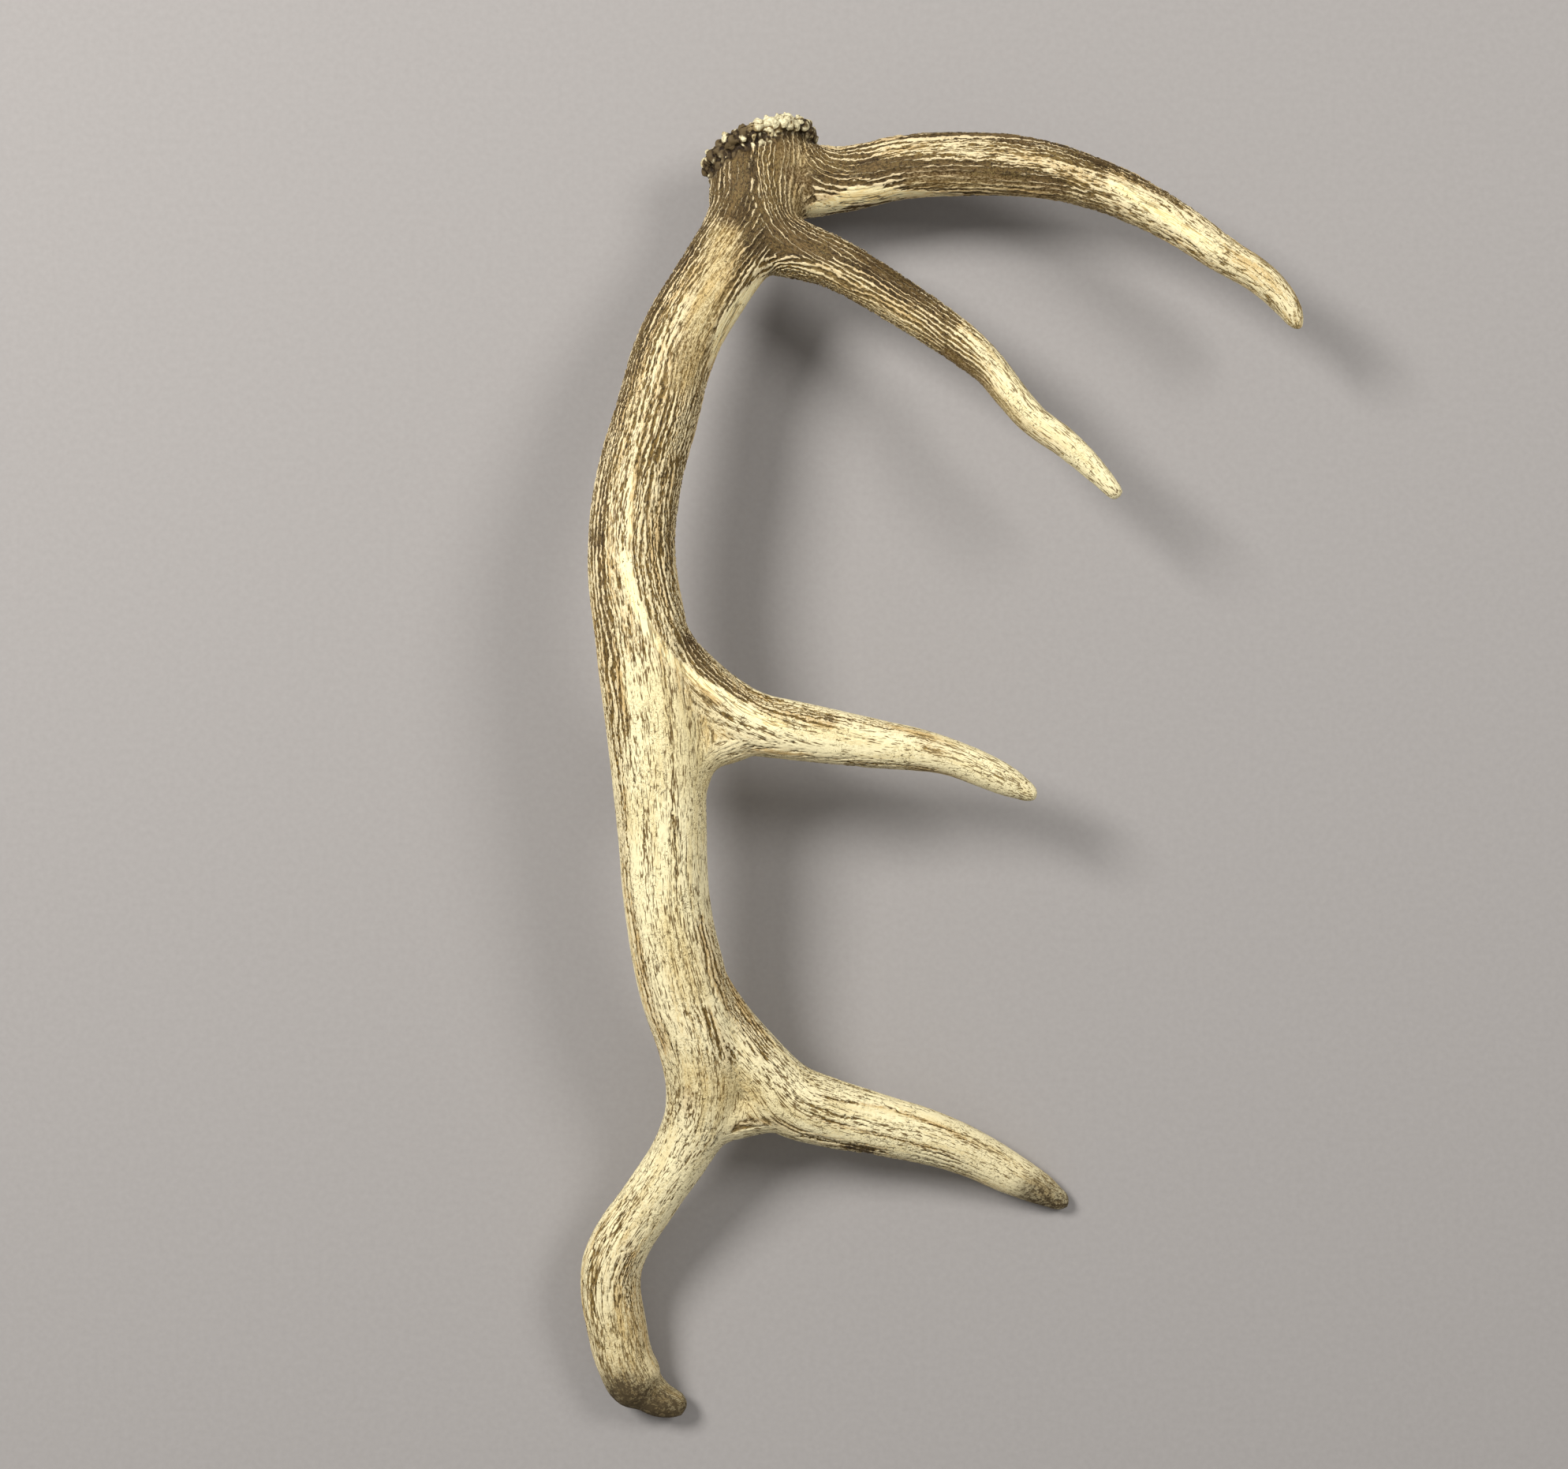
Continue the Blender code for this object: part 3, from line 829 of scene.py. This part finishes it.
LINED_STROKES = (
    (-0.5, 14, ((186, -27), (232, -50), (292, -98))),
    (0.5, 14, ((6, -68), (40, -68), (74, -90), (110, -116))),
    (0.6, 12, ((-50, -220), (-40, -262), (-20, -292), (10, -310), (60, -320))),
    (0.7, 22, ((-50, -352), (-49, -400), (-38, -460))),
    (0.55, 15, ((12, -512), (60, -532), (122, -556))),
)
DIRT_STROKES = (
    (0.75, 10, ((152, -576), (172, -586))),
    (1.0, 15, ((-72, -688), (-57, -694), (-43, -699))),
)
STROKES = {
    "brown": BROWN_STROKES,
    "speckle": SPECKLE_STROKES,
    "polish": POLISH_STROKES,
    "lined": LINED_STROKES,
    "dirt": DIRT_STROKES,
}

# The least and the most that there can be of each shade.
SHADE_LIMITS = {"brown": (0, 1.3), "speckle": (0, 1), "polish": (0, 1), "lined": (-1, 1), "dirt": (0, 1)}

# A stroke fades out between these shares of its half width, and polish over this distance before its end too.
STROKE_EDGE = (0.25, 1.75)
POLISH_FADE = 24

# Strokes reach round the side until the skin faces this far down and up: all but dirt, which goes all round.
FACING = (-0.45, 0.15)

# Where the seal face begins along the burr's axis, where it ends towards the rim, in shares of the radius,
# and how far out it may lie; then where the collar begins, in such shares, and where its thickness ends.
SEAL_FROM = (1.0, 3.5)
SEAL_RIM = (0.74, 0.86)
SEAL_REACH = 40
COLLAR_RIM = (0.72, 0.84)
COLLAR_END = (8, 12)


def off_polyline(spots, corners):
    """Distance of each spot from the polyline, in the plane."""
    least = np.full(len(spots), np.inf)
    for start, end in zip(corners[:-1], corners[1:]):
        start, end = np.array(start, float), np.array(end, float)
        run = end - start
        share = np.clip(((spots - start) @ run) / run.dot(run), 0, 1)
        least = np.minimum(least, np.linalg.norm(spots - start - share[:, None] * run, axis=1))
    return least


def store(data, name, values):
    """Gives every point of the mesh a number, or a row of three."""
    kind, slot = ("FLOAT", "value") if values.ndim == 1 else ("FLOAT_VECTOR", "vector")
    data.attributes.new(name, kind, "POINT").data.foreach_set(slot, values.astype(np.float32).ravel())


def store_grains(data, grains, outs):
    """Keeps the beam's grain and the nearest ones of the two slots, and how they share the skin."""
    store(data, "grain_beam", grains["beam"])
    nearest = {"beam": outs["beam"]}
    for slot, members in SLOTS.items():
        reach = np.stack([outs[name] for name in members])
        which = reach.argmin(0)
        nearest[slot] = reach.min(0)
        grain = np.choose(which[:, None], [grains[name] for name in members])
        store(data, "grain_" + slot, grain + which[:, None] * np.array([0, 0, GRAIN_APART]))
    store(data, "part_tine", smooth(nearest["beam"] - nearest["tine"], *GRAIN_BORDER))
    others = np.minimum(nearest["beam"], nearest["tine"])
    store(data, "part_bez", smooth(others - nearest["bez"], *GRAIN_BORDER))


def lay_strokes(shades, spots, facing):
    """Adds the strokes to the shades, each where it is seen from the camera's place."""
    eye = np.array(EYE) - np.array([*OUTLINE_MIDDLE, 0])
    reach = (eye[2] - SEEN_HEIGHT) / (eye[2] - spots[:, 2])
    seen = eye[:2] + (spots[:, :2] - eye[:2]) * reach[:, None] + np.array(OUTLINE_MIDDLE)
    inner, outer = STROKE_EDGE
    for shade, strokes in STROKES.items():
        for strength, half, corners in strokes:
            near = 1 - smooth(off_polyline(seen, corners), inner * half, outer * half)
            if shade == "polish":
                near *= smooth(np.linalg.norm(seen - np.array(corners[-1]), axis=1), 0, POLISH_FADE)
            shades[shade] += strength * near * (1 if shade == "dirt" else facing)


def burr_shares(spots):
    """The places in the burr's own axes, and how far each spot belongs to its collar and its seal face."""
    inward = np.array(burr_frame().inverted())
    local = (spots * MM) @ inward[:3, :3].T + inward[:3, 3]
    local /= MM
    rim = np.sqrt((local[:, 0] / (BURR_ACROSS / 2)) ** 2 + (local[:, 1] / (BURR_DEPTH / 2)) ** 2)
    close = np.abs(local[:, 2]) < SEAL_REACH
    seal = smooth(local[:, 2], *SEAL_FROM) * (1 - smooth(rim, *SEAL_RIM)) * close
    collar = smooth(rim, *COLLAR_RIM) * (1 - smooth(np.abs(local[:, 2]), *COLLAR_END))
    return local, collar, seal


def lay_grain(data):
    """Gives every point its place in the grain and its shades, and returns each point's strand."""
    spots = places_of(data)
    grains, outs = {}, {}
    for name, rows in GUIDES.items():
        grains[name], outs[name] = unbent(spots, rows)
    store_grains(data, grains, outs)
    shares = {name: np.exp(-SHARING * outs[name]) for name in STRANDS}
    total = sum(shares.values())
    shades = {name: np.zeros(len(spots)) for name in SHADE_LIMITS}
    worn = np.zeros(len(spots))
    for name, share in shares.items():
        travelled = grains[name][:, 2]
        shades["brown"] += share / total * np.interp(travelled, *zip(*BROWN_ALONG[name]))
        worn += share / total * smooth(travelled, *WORN_ALONG[name])
    facing = smooth(normals_of(data)[:, 2], *FACING)
    lay_strokes(shades, spots, facing)
    local, collar, seal = burr_shares(spots)
    shades["speckle"] = np.clip(shades["speckle"] + seal, 0, 1)
    for name, limits in SHADE_LIMITS.items():
        store(data, name, np.clip(shades[name], *limits))
    store(data, "worn", worn)
    store(data, "burr_place", local)
    store(data, "burr", collar)
    store(data, "seal", seal)
    own = [outs[name] if GUIDES[name] == rows else unbent(spots, rows)[1] for name, rows in STRANDS.items()]
    return np.stack(own).argmin(0)


# -------- the relief

# Hollows and bumps are read against a skin smoothed so many times, and shown this much stronger.
HOLLOW_PASSES = 5
HOLLOW_GAIN = 2.2


def relief_tree():
    """Raises the ridges and pits the burr and the seal face."""
    tree, w = geometry_tree("relief", {"Geometry": "Geometry", "Ridge Height": "Float"})
    given = w.node("NodeGroupInput").outputs
    spot = w.node("GeometryNodeInputPosition").outputs[0]
    geometry = given["Geometry"]
    for name, value in slow_fields(w).items():
        inputs = {"Geometry": geometry, "Name": name, "Value": value}
        keep = w.node("GeometryNodeStoreNamedAttribute", inputs, data_type="FLOAT", domain="POINT")
        geometry = keep.outputs[0]
    cover, _ = cream_cover(w, GRAINS, 0.45)
    grainy = w.noise(w.vector("MULTIPLY", spot, (300.0,) * 3), 3.0, 0.6)
    pits = w.noise(w.vector("MULTIPLY", spot, (450.0,) * 3), 3.0, 0.6)
    lobes = w.times(w.maths("SUBTRACT", 0.42, burr_lobes(w)["Distance"]), 3.6)
    calm = w.less("worn", 0.8)
    for name, weight in (("polish", 0.7), ("speckle", 0.75), ("burr", 1.0)):
        calm = w.times(calm, w.less(name, weight))
    ridge = w.times(w.maths("SUBTRACT", cover, 0.6), calm)
    rough = w.blend_of((("speckle", 0.35),), 0.08)
    knobs = w.blend_of((("burr", 1.0), ("seal", 1.6)))
    fine = w.times(w.maths("SUBTRACT", grainy, 0.5), rough)
    lumps = w.times(w.maths("SUBTRACT", pits, 0.5), knobs)
    lift = w.blend_of(((lobes, "burr"), (ridge, 1.0), (fine, 1.0), (lumps, 1.0)))
    lift = w.times(lift, given["Ridge Height"])
    offset = w.scaled(w.node("GeometryNodeInputNormal").outputs[0], lift)
    move = w.node("GeometryNodeSetPosition", {"Geometry": geometry, "Offset": offset})
    w.node("NodeGroupOutput", {0: move.outputs[0]})
    return tree


def store_hollows(data):
    """How far each point lies in a hollow (0) or on a bump (1), read from the raised skin; the finish paints
    shade into the hollows from it.
    """
    spots = places_of(data)
    ends = read_array(data.edges, "vertices", 2, np.int32)
    both = np.concatenate([ends, ends[:, ::-1]])
    count = np.bincount(both[:, 0], minlength=len(spots)).astype(float)

    def neighbours(values):
        """The mean of the points that each point has an edge to."""
        sums = [np.bincount(both[:, 0], column[both[:, 1]], len(spots)) for column in values.T]
        return np.stack(sums, axis=1) / count[:, None]

    calm = spots
    for _ in range(HOLLOW_PASSES):
        calm = (calm + neighbours(calm)) / 2
    normals = normals_of(data)
    height = ((spots - calm) * normals).sum(1)[:, None]
    height = (height + neighbours(height)) / 2
    store(data, "raised", np.clip(0.5 + height[:, 0] * HOLLOW_GAIN, 0, 1))


# -------- parting the skin

# Each piece: the grains that its finish reads, and its slot.
PIECES = {
    "burr_base": (("beam", "tine", "bez"), "dark_antler"),
    "brow_tine": (("tine",), "dark_antler"),
    "bez_tine": (("tine", "bez"), "dark_antler"),
    "lower_beam": (("beam", "tine", "bez"), "streaked_antler"),
    "trez_tine": (("tine", "bez"), "pale_antler"),
    "upper_beam": (("beam", "tine", "bez"), "pale_antler"),
    "fork_tine": (("tine", "bez"), "pale_antler"),
    "beam_tip": (("beam", "bez"), "pale_antler"),
}

# Each cut parts these two pieces: the one before it and the one past it.
BORDERS = {
    "brow": ("burr_base", "brow_tine"),
    "bez": ("burr_base", "bez_tine"),
    "beam_low": ("burr_base", "lower_beam"),
    "trez": ("lower_beam", "trez_tine"),
    "beam_middle": ("lower_beam", "upper_beam"),
    "fork": ("upper_beam", "fork_tine"),
    "beam_high": ("upper_beam", "beam_tip"),
}

# A point this near to a cut lies on it, in millimetres.
ON_CUT = 1e-6


def across_cut(cut):
    """The direction across a cut."""
    direction = CUTS[cut][1]
    return np.array(direction) / np.linalg.norm(direction)


def beyond(spots, cut):
    """How far each spot lies past the cut, in millimetres."""
    return (spots - np.array(place(*CUTS[cut][0])) / MM) @ across_cut(cut)


def piece_of_faces(middles, owner):
    """The number of the piece that each face belongs to, from its middle and its strand."""
    names = list(PIECES)
    piece = np.full(len(middles), names.index("burr_base"))
    for cut in ("beam_low", "beam_middle", "beam_high"):
        before, after = (names.index(name) for name in BORDERS[cut])
        piece[(piece == before) & (beyond(middles, cut) > 0)] = after
    for number, strand in enumerate(STRANDS):
        if strand == "beam":
            continue
        mine = owner == number
        home, tine = (names.index(name) for name in BORDERS[strand])
        piece[mine] = home
        piece[mine & (beyond(middles, strand) > 0)] = tine
    return piece


def point_fields(data):
    """The numbers that the points of the mesh carry, by name."""
    kinds = {"FLOAT": (1, "value"), "FLOAT_VECTOR": (3, "vector")}
    fields = {}
    for field in data.attributes:
        if field.domain != "POINT" or field.data_type not in kinds or field.name == "position":
            continue
        width, slot = kinds[field.data_type]
        fields[field.name] = read_array(field.data, slot, width)
    return fields


def closed_piece(name, quads, spots, normals, fields):
    """One piece of the skin, from its faces, closed with fans of flat faces at its cuts."""
    used = np.unique(quads)
    renumber = np.full(len(spots), -1)
    renumber[used] = np.arange(len(used))
    points = spots[used]
    faces = renumber[quads]
    corner_normals = [normals[used][faces].reshape(-1, 3)]
    values = {field: given[used] for field, given in fields.items()}
    around = np.stack([faces, np.roll(faces, -1, axis=1)], axis=2).reshape(-1, 2)
    key = around[:, 0] * len(used) + around[:, 1]
    back = around[:, 1] * len(used) + around[:, 0]
    rim = around[~np.isin(key, back)]
    caps = []
    for cut, pair in BORDERS.items():
        if name not in pair:
            continue
        on_cut = np.abs(beyond(points, cut)) < ON_CUT
        ring = rim[on_cut[rim].all(1)]
        if len(ring) == 0:
            continue
        hub = len(points)
        points = np.vstack([points, points[np.unique(ring)].mean(0)])
        for field in values:
            values[field] = np.vstack([values[field], values[field][ring[0, 0]]])
        caps.append(np.stack([ring[:, 1], ring[:, 0], np.full(len(ring), hub)], axis=1))
        outward = across_cut(cut) if name == pair[0] else -across_cut(cut)
        corner_normals.append(np.tile(outward, (len(ring) * 3, 1)))
    caps = np.vstack(caps)
    open_edges = len(rim) - len(caps)
    if open_edges:
        raise ValueError(f"{name} has {open_edges} open edges")
    mesh = bpy.data.meshes.new(name + "_skin")
    mesh.vertices.add(len(points))
    mesh.vertices.foreach_set("co", (points * MM).astype(np.float32).ravel())
    loops = np.concatenate([faces.ravel(), caps.ravel()]).astype(np.int32)
    mesh.loops.add(len(loops))
    mesh.loops.foreach_set("vertex_index", loops)
    starts = np.concatenate([np.arange(len(faces)) * 4, len(faces) * 4 + np.arange(len(caps)) * 3])
    mesh.polygons.add(len(starts))
    mesh.polygons.foreach_set("loop_start", starts.astype(np.int32))
    mesh.update(calc_edges=True)
    mesh.shade_smooth()
    mesh.normals_split_custom_set(np.vstack(corner_normals).tolist())
    for field, given in values.items():
        store(mesh, field, given[:, 0] if given.shape[1] == 1 else given)
    return new_object(name + "_skin", mesh)


def part_skin(whole, strand_of):
    """Parts the skin at the cuts of the solid and closes each piece with flat faces there."""
    data = whole.data
    names = list(PIECES)
    spots = places_of(data)
    normals = normals_of(data)
    spots[:, 2] = np.maximum(spots[:, 2], 0)
    quads = read_array(data.loops, "vertex_index", 1, np.int32).reshape(-1, 4)
    piece = piece_of_faces(spots[quads].mean(1), strand_of[quads[:, 0]])
    member = np.zeros((len(spots), len(names)), bool)
    for index in range(len(names)):
        member[np.unique(quads[piece == index]), index] = True
    for cut, pair in BORDERS.items():
        first, second = (names.index(name) for name in pair)
        shared = member[:, first] & member[:, second]
        spots[shared] -= beyond(spots[shared], cut)[:, None] * across_cut(cut)
    fields = point_fields(data)
    return {
        name: closed_piece(name, quads[piece == index], spots, normals, fields)
        for index, name in enumerate(names)
    }


# -------- the finish


def groove_colour(w, above, grainy, fine):
    """Stained bone between the ridges: darkest where it is deep and brown, with painted shade along the foot
    of each ridge, paler where it is worn.
    """
    mottle = w.step(w.blend_of(((grainy, 0.35), (fine, 0.65))), 0.4, 0.6)
    plain = w.blend_of(((grainy, 0.45), (fine, 0.35), ("streak", 0.2)))
    deep = w.tint(w.step(plain, 0.36, 0.64), "2f210d", "77603b")
    deep = w.tint(w.step("streak", 0.38, 0.52, 0.6, 0.0), deep, "2a1c09")
    # Painted shade: the groove is darkened most right beside each ridge, as in the ridge's shadow, and less
    # deeper down.
    deep = w.tint(w.step(above, -0.34, -0.06, 0.0, 0.8), deep, "221707")
    light = w.tint(mottle, "46351a", "967940")
    groove = w.tint(w.step("brown", 0.5, 0.95), light, deep)
    speckled = w.tint("brown", "a5874a", "6e5227")
    groove = w.tint(w.times("speckle", 0.6), groove, speckled)
    return w.tint(w.times("worn", 0.25), groove, "a08a5a")


def ridge_colour(w, fine, thin):
    """Cream crests, tan where the skin is brown, with short brown dashes, and warm where polished."""
    pale = w.step(w.blend_of((("streak", 0.65), (fine, 0.35))), 0.39, 0.51)
    tan = w.tint(w.step("brown", 0.05, 0.4), "e8d7a4", "ceae6e")
    ridge = w.tint(pale, tan, "f4e7b9")
    ridge = w.tint(w.times("brown", 0.7), ridge, "cdb48c")
    speckled = w.tint("brown", "e6d194", "b49458")
    ridge = w.tint(w.times("speckle", 0.6), ridge, speckled)
    dashed = w.blend_of(((thin, 1.0), ("bands", -0.45)), 0.225)
    ridge = w.tint(w.step(dashed, 0.37, 0.42, 0.9, 0.0), ridge, "62481f")
    ridge = w.tint(w.times("worn", 0.15), ridge, "dccc9b")
    sheen = w.step(w.blend_of((("streak", 0.4), (thin, 0.6))), 0.4, 0.56)
    rubbed = w.tint(sheen, "e9cd8e", "fdefbc")
    return w.tint(w.step("polish", 0.2, 0.8), ridge, rubbed)


def burr_colour(w, grainy):
    """Knobs of stained bone with dark hollows between them, some with a pale curl or a rubbed top."""
    lobes = burr_lobes(w)
    chance, other_chance, _ = w.parts_of(lobes["Color"])
    rubbed = w.blend_of(((chance, 0.8), ("raised", 0.9), ("brown", -1.0)), 0.12)
    knob = w.tint(w.step("brown", 0.5, 1.05), "a08a5e", "5e4f35")
    hollow = w.tint(w.step("brown", 0.2, 0.6), "8a7042", "271a0a")
    knob = w.tint(w.step("raised", 0.3, 0.7), hollow, knob)
    curl = w.times(w.step(lobes["Distance"], 0.2, 0.28), w.step(lobes["Distance"], 0.34, 0.42, 1.0, 0.0))
    curled = w.blend_of(((other_chance, 1.0), ("brown", -0.2)))
    curl = w.times(curl, w.step(curled, 0.3, 0.42, 0.0, 0.9))
    knob = w.tint(curl, knob, "ddcb9a")
    knob = w.tint(w.step(rubbed, 0.34, 0.64), knob, "f0e4b8")
    return w.tint(w.step(grainy, 0.42, 0.6, 0.45, 0.0), knob, "5a492e")


def antler_finish(name, strands):
    """Pale worn ridges over stained grooves, speckled webs, polished ridges and dirty ends, with painted
    shade in the hollows.
    """
    material = bpy.data.materials.new(name)
    material.use_nodes = True
    w = Wiring(material.node_tree, False)
    shader = material.node_tree.nodes["Principled BSDF"]
    spot = w.node("ShaderNodeTexCoord").outputs["Object"]

    def at(scale, seed, detail=2.0, rough=0.5, bend=0.0):
        """Noise that is alike in all directions; the scale is about its waves in a metre."""
        shift = tuple(seed * part for part in SPACE_SEED_STEP)
        return w.noise(w.vector("MULTIPLY_ADD", spot, (scale,) * 3, shift), detail, rough, bend)

    cover, above = cream_cover(w, strands, 0.12)
    patches = at(60.0, 1, 3.0)
    grainy = at(700.0, 2, 2.0, 0.6)
    fine = w.along_grain(strands, 1.9, 0.34, 7, detail=1.0, rough=0.6)
    thin = w.along_grain(strands, 1.5, 0.16, 8, detail=1.0)
    flecks = w.step(w.blend_of(((grainy, 0.7), (fine, 0.3), ("brown", -0.1)), 0.08), 0.43, 0.57)
    cover = w.mix(w.times("speckle", 0.7), cover, flecks)
    groove = groove_colour(w, above, grainy, fine)
    colour = w.tint(cover, groove, ridge_colour(w, fine, thin))

    # Hair-thin scratches, crackle and pinholes.
    hair = w.step(w.off_middle(at(190.0, 5, 1.0, 0.5, 0.6)), 0.004, 0.016, 1.0, 0.0)
    hair = w.times(hair, w.step(at(90.0, 6, 1.0), 0.5, 0.58))
    hair = w.times(hair, w.maths("SUBTRACT", 1.0, "brown", clamp=True))
    colour = w.tint(w.times(hair, 0.7), colour, "57452a")
    crackle = w.step(w.off_middle(at(520.0, 9, 2.0, 0.6)), 0.008, 0.03, 1.0, 0.0)
    crackle = w.times(crackle, w.step(patches, 0.4, 0.6, 0.1, 0.6))
    colour = w.tint(w.times(crackle, w.less("polish")), colour, "93804e")
    pin = w.times(w.step(grainy, 0.6, 0.67), w.step(patches, 0.45, 0.6, 0.15, 0.8))
    colour = w.tint(pin, colour, "4c3b1d")

    # The burr, the dirt on the ends, and painted shade that darkens the hollows.
    colour = w.tint("burr", colour, burr_colour(w, grainy))
    crumbs = w.blend_of(((at(350.0, 4, 3.0), 0.5), (grainy, 0.5)))
    dirt = w.maths("MULTIPLY", "dirt", w.step(crumbs, 0.4, 0.58, 1.4, 0.82), clamp=True)
    colour = w.tint(dirt, colour, w.tint(patches, "362b19", "5e5038"))
    # Painted shade: the colour is multiplied down towards 0.72 in the hollows of the relief.
    shade = w.step("raised", 0.2, 0.55, 0.72, 1.0)
    dark = w.node("ShaderNodeCombineColor", {0: shade, 1: shade, 2: shade})
    w.feed(shader.inputs["Base Color"], w.tint(1.0, colour, dark.outputs[0], "MULTIPLY"))

    gloss = w.mix("polish", w.mix(cover, 0.62, 0.42), 0.33)
    w.feed(shader.inputs["Roughness"], w.mix(dirt, gloss, 0.8))
    shader.inputs["Specular IOR Level"].default_value = 0.15
    height = w.maths("ADD", cover, w.times(fine, 0.6))
    bump = w.node("ShaderNodeBump", {"Strength": 0.6, "Distance": 0.35 * MM, "Height": height})
    w.feed(shader.inputs["Normal"], bump.outputs[0])
    return material


# -------- table, light and camera

# Half the table's width, and how far its top lies under the antler, in metres.
TABLE_REACH = 4.0
TABLE_GAP = 0.0002


def build_table():
    """A plain pale table top with a faint grain."""
    data = bpy.data.meshes.new("table")
    sides = ((-1, -1), (1, -1), (1, 1), (-1, 1))
    corners = [(x * TABLE_REACH, y * TABLE_REACH, -TABLE_GAP) for x, y in sides]
    data.from_pydata(corners, [], [(0, 1, 2, 3)])
    table = new_object("table", data)
    material = bpy.data.materials.new("pale_table")
    material.use_nodes = True
    w = Wiring(material.node_tree, False)
    shader = material.node_tree.nodes["Principled BSDF"]
    spot = w.node("ShaderNodeTexCoord").outputs["Object"]
    grain = w.noise(w.vector("MULTIPLY_ADD", spot, (300.0,) * 3, (0, 0, 0)), 3.0)
    w.feed(shader.inputs["Base Color"], w.tint(grain, "96918d", "a09b97"))
    shader.inputs["Roughness"].default_value = 0.9
    data.materials.append(material)


def soft_lamp(name, spot, size, power):
    """A round lamp that shines at the middle of the table."""
    data = bpy.data.lights.new(name, "AREA")
    data.shape = "DISK"
    data.size = size
    data.energy = power
    lamp = new_object(name, data)
    lamp.location = spot
    lamp.rotation_euler = (-Vector(spot)).to_track_quat("-Z", "Y").to_euler()


def light_room():
    soft_lamp("left_lamp", (-1.5, 1.0, 1.9), 0.9, 66)
    soft_lamp("right_lamp", (1.4, 0.9, 1.9), 0.9, 28)
    world = bpy.data.worlds.new("room")
    world.use_nodes = True
    world.node_tree.nodes["Background"].inputs[0].default_value = (1, 1, 1, 1)
    world.node_tree.nodes["Background"].inputs[1].default_value = 0.32
    bpy.context.scene.world = world
    bpy.context.scene.view_settings.view_transform = "Standard"


def build_camera():
    """The camera, straight above and looking straight down."""
    data = bpy.data.cameras.new("camera")
    data.sensor_fit = "HORIZONTAL"
    data.angle = 2 * math.atan(SEEN_WIDTH / 2 / (EYE[2] - SEEN_HEIGHT))
    data.clip_end = 50
    camera = new_object("camera", data)
    camera.location = place(*EYE)
    bpy.context.scene.camera = camera


def build_antler():
    """Grows the whole skin, parts it, and puts each piece in the place of its solid."""
    beam_oval = oval_profile(BEAM_FLATNESS)
    tine_oval = oval_profile(TINE_FLATNESS)
    tines = (BROW_TINE, BEZ_TINE, TREZ_TINE, FORK_TINE, TREZ_WEB, FORK_WEB)
    core = [strand_curve(rows, beam_oval, TUBE_STEPS) for rows in (BEAM, BEAM_END)]
    core += [strand_curve(rows, tine_oval, TUBE_STEPS) for rows in tines]
    whole = joined(core, "antler")
    drop(beam_oval)
    drop(tine_oval)
    remesh(whole, CORE_GRAIN)
    soften_crotches(whole)
    plain = bpy.data.materials.new("plain")
    whole = joined([whole] + burr_core() + pearl_rows(plain), "antler")
    remesh(whole, SKIN_GRAIN * (1))
    strand_of = lay_grain(whole.data)
    grow(whole, relief_tree(), {"Ridge Height": RIDGE_HEIGHT * MM})
    store_hollows(whole.data)
    pieces = part_skin(whole, strand_of)
    drop(whole)
    finishes = {}
    for name, (strands, slot) in PIECES.items():
        if strands not in finishes:
            finishes[strands] = antler_finish("antler_of_" + "_".join(strands), strands)
        skin = pieces[name]
        skin.data.materials.append(finishes[strands])
        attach(skin, "root")
        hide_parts(name)


build_antler()
build_table()
light_room()
build_camera()
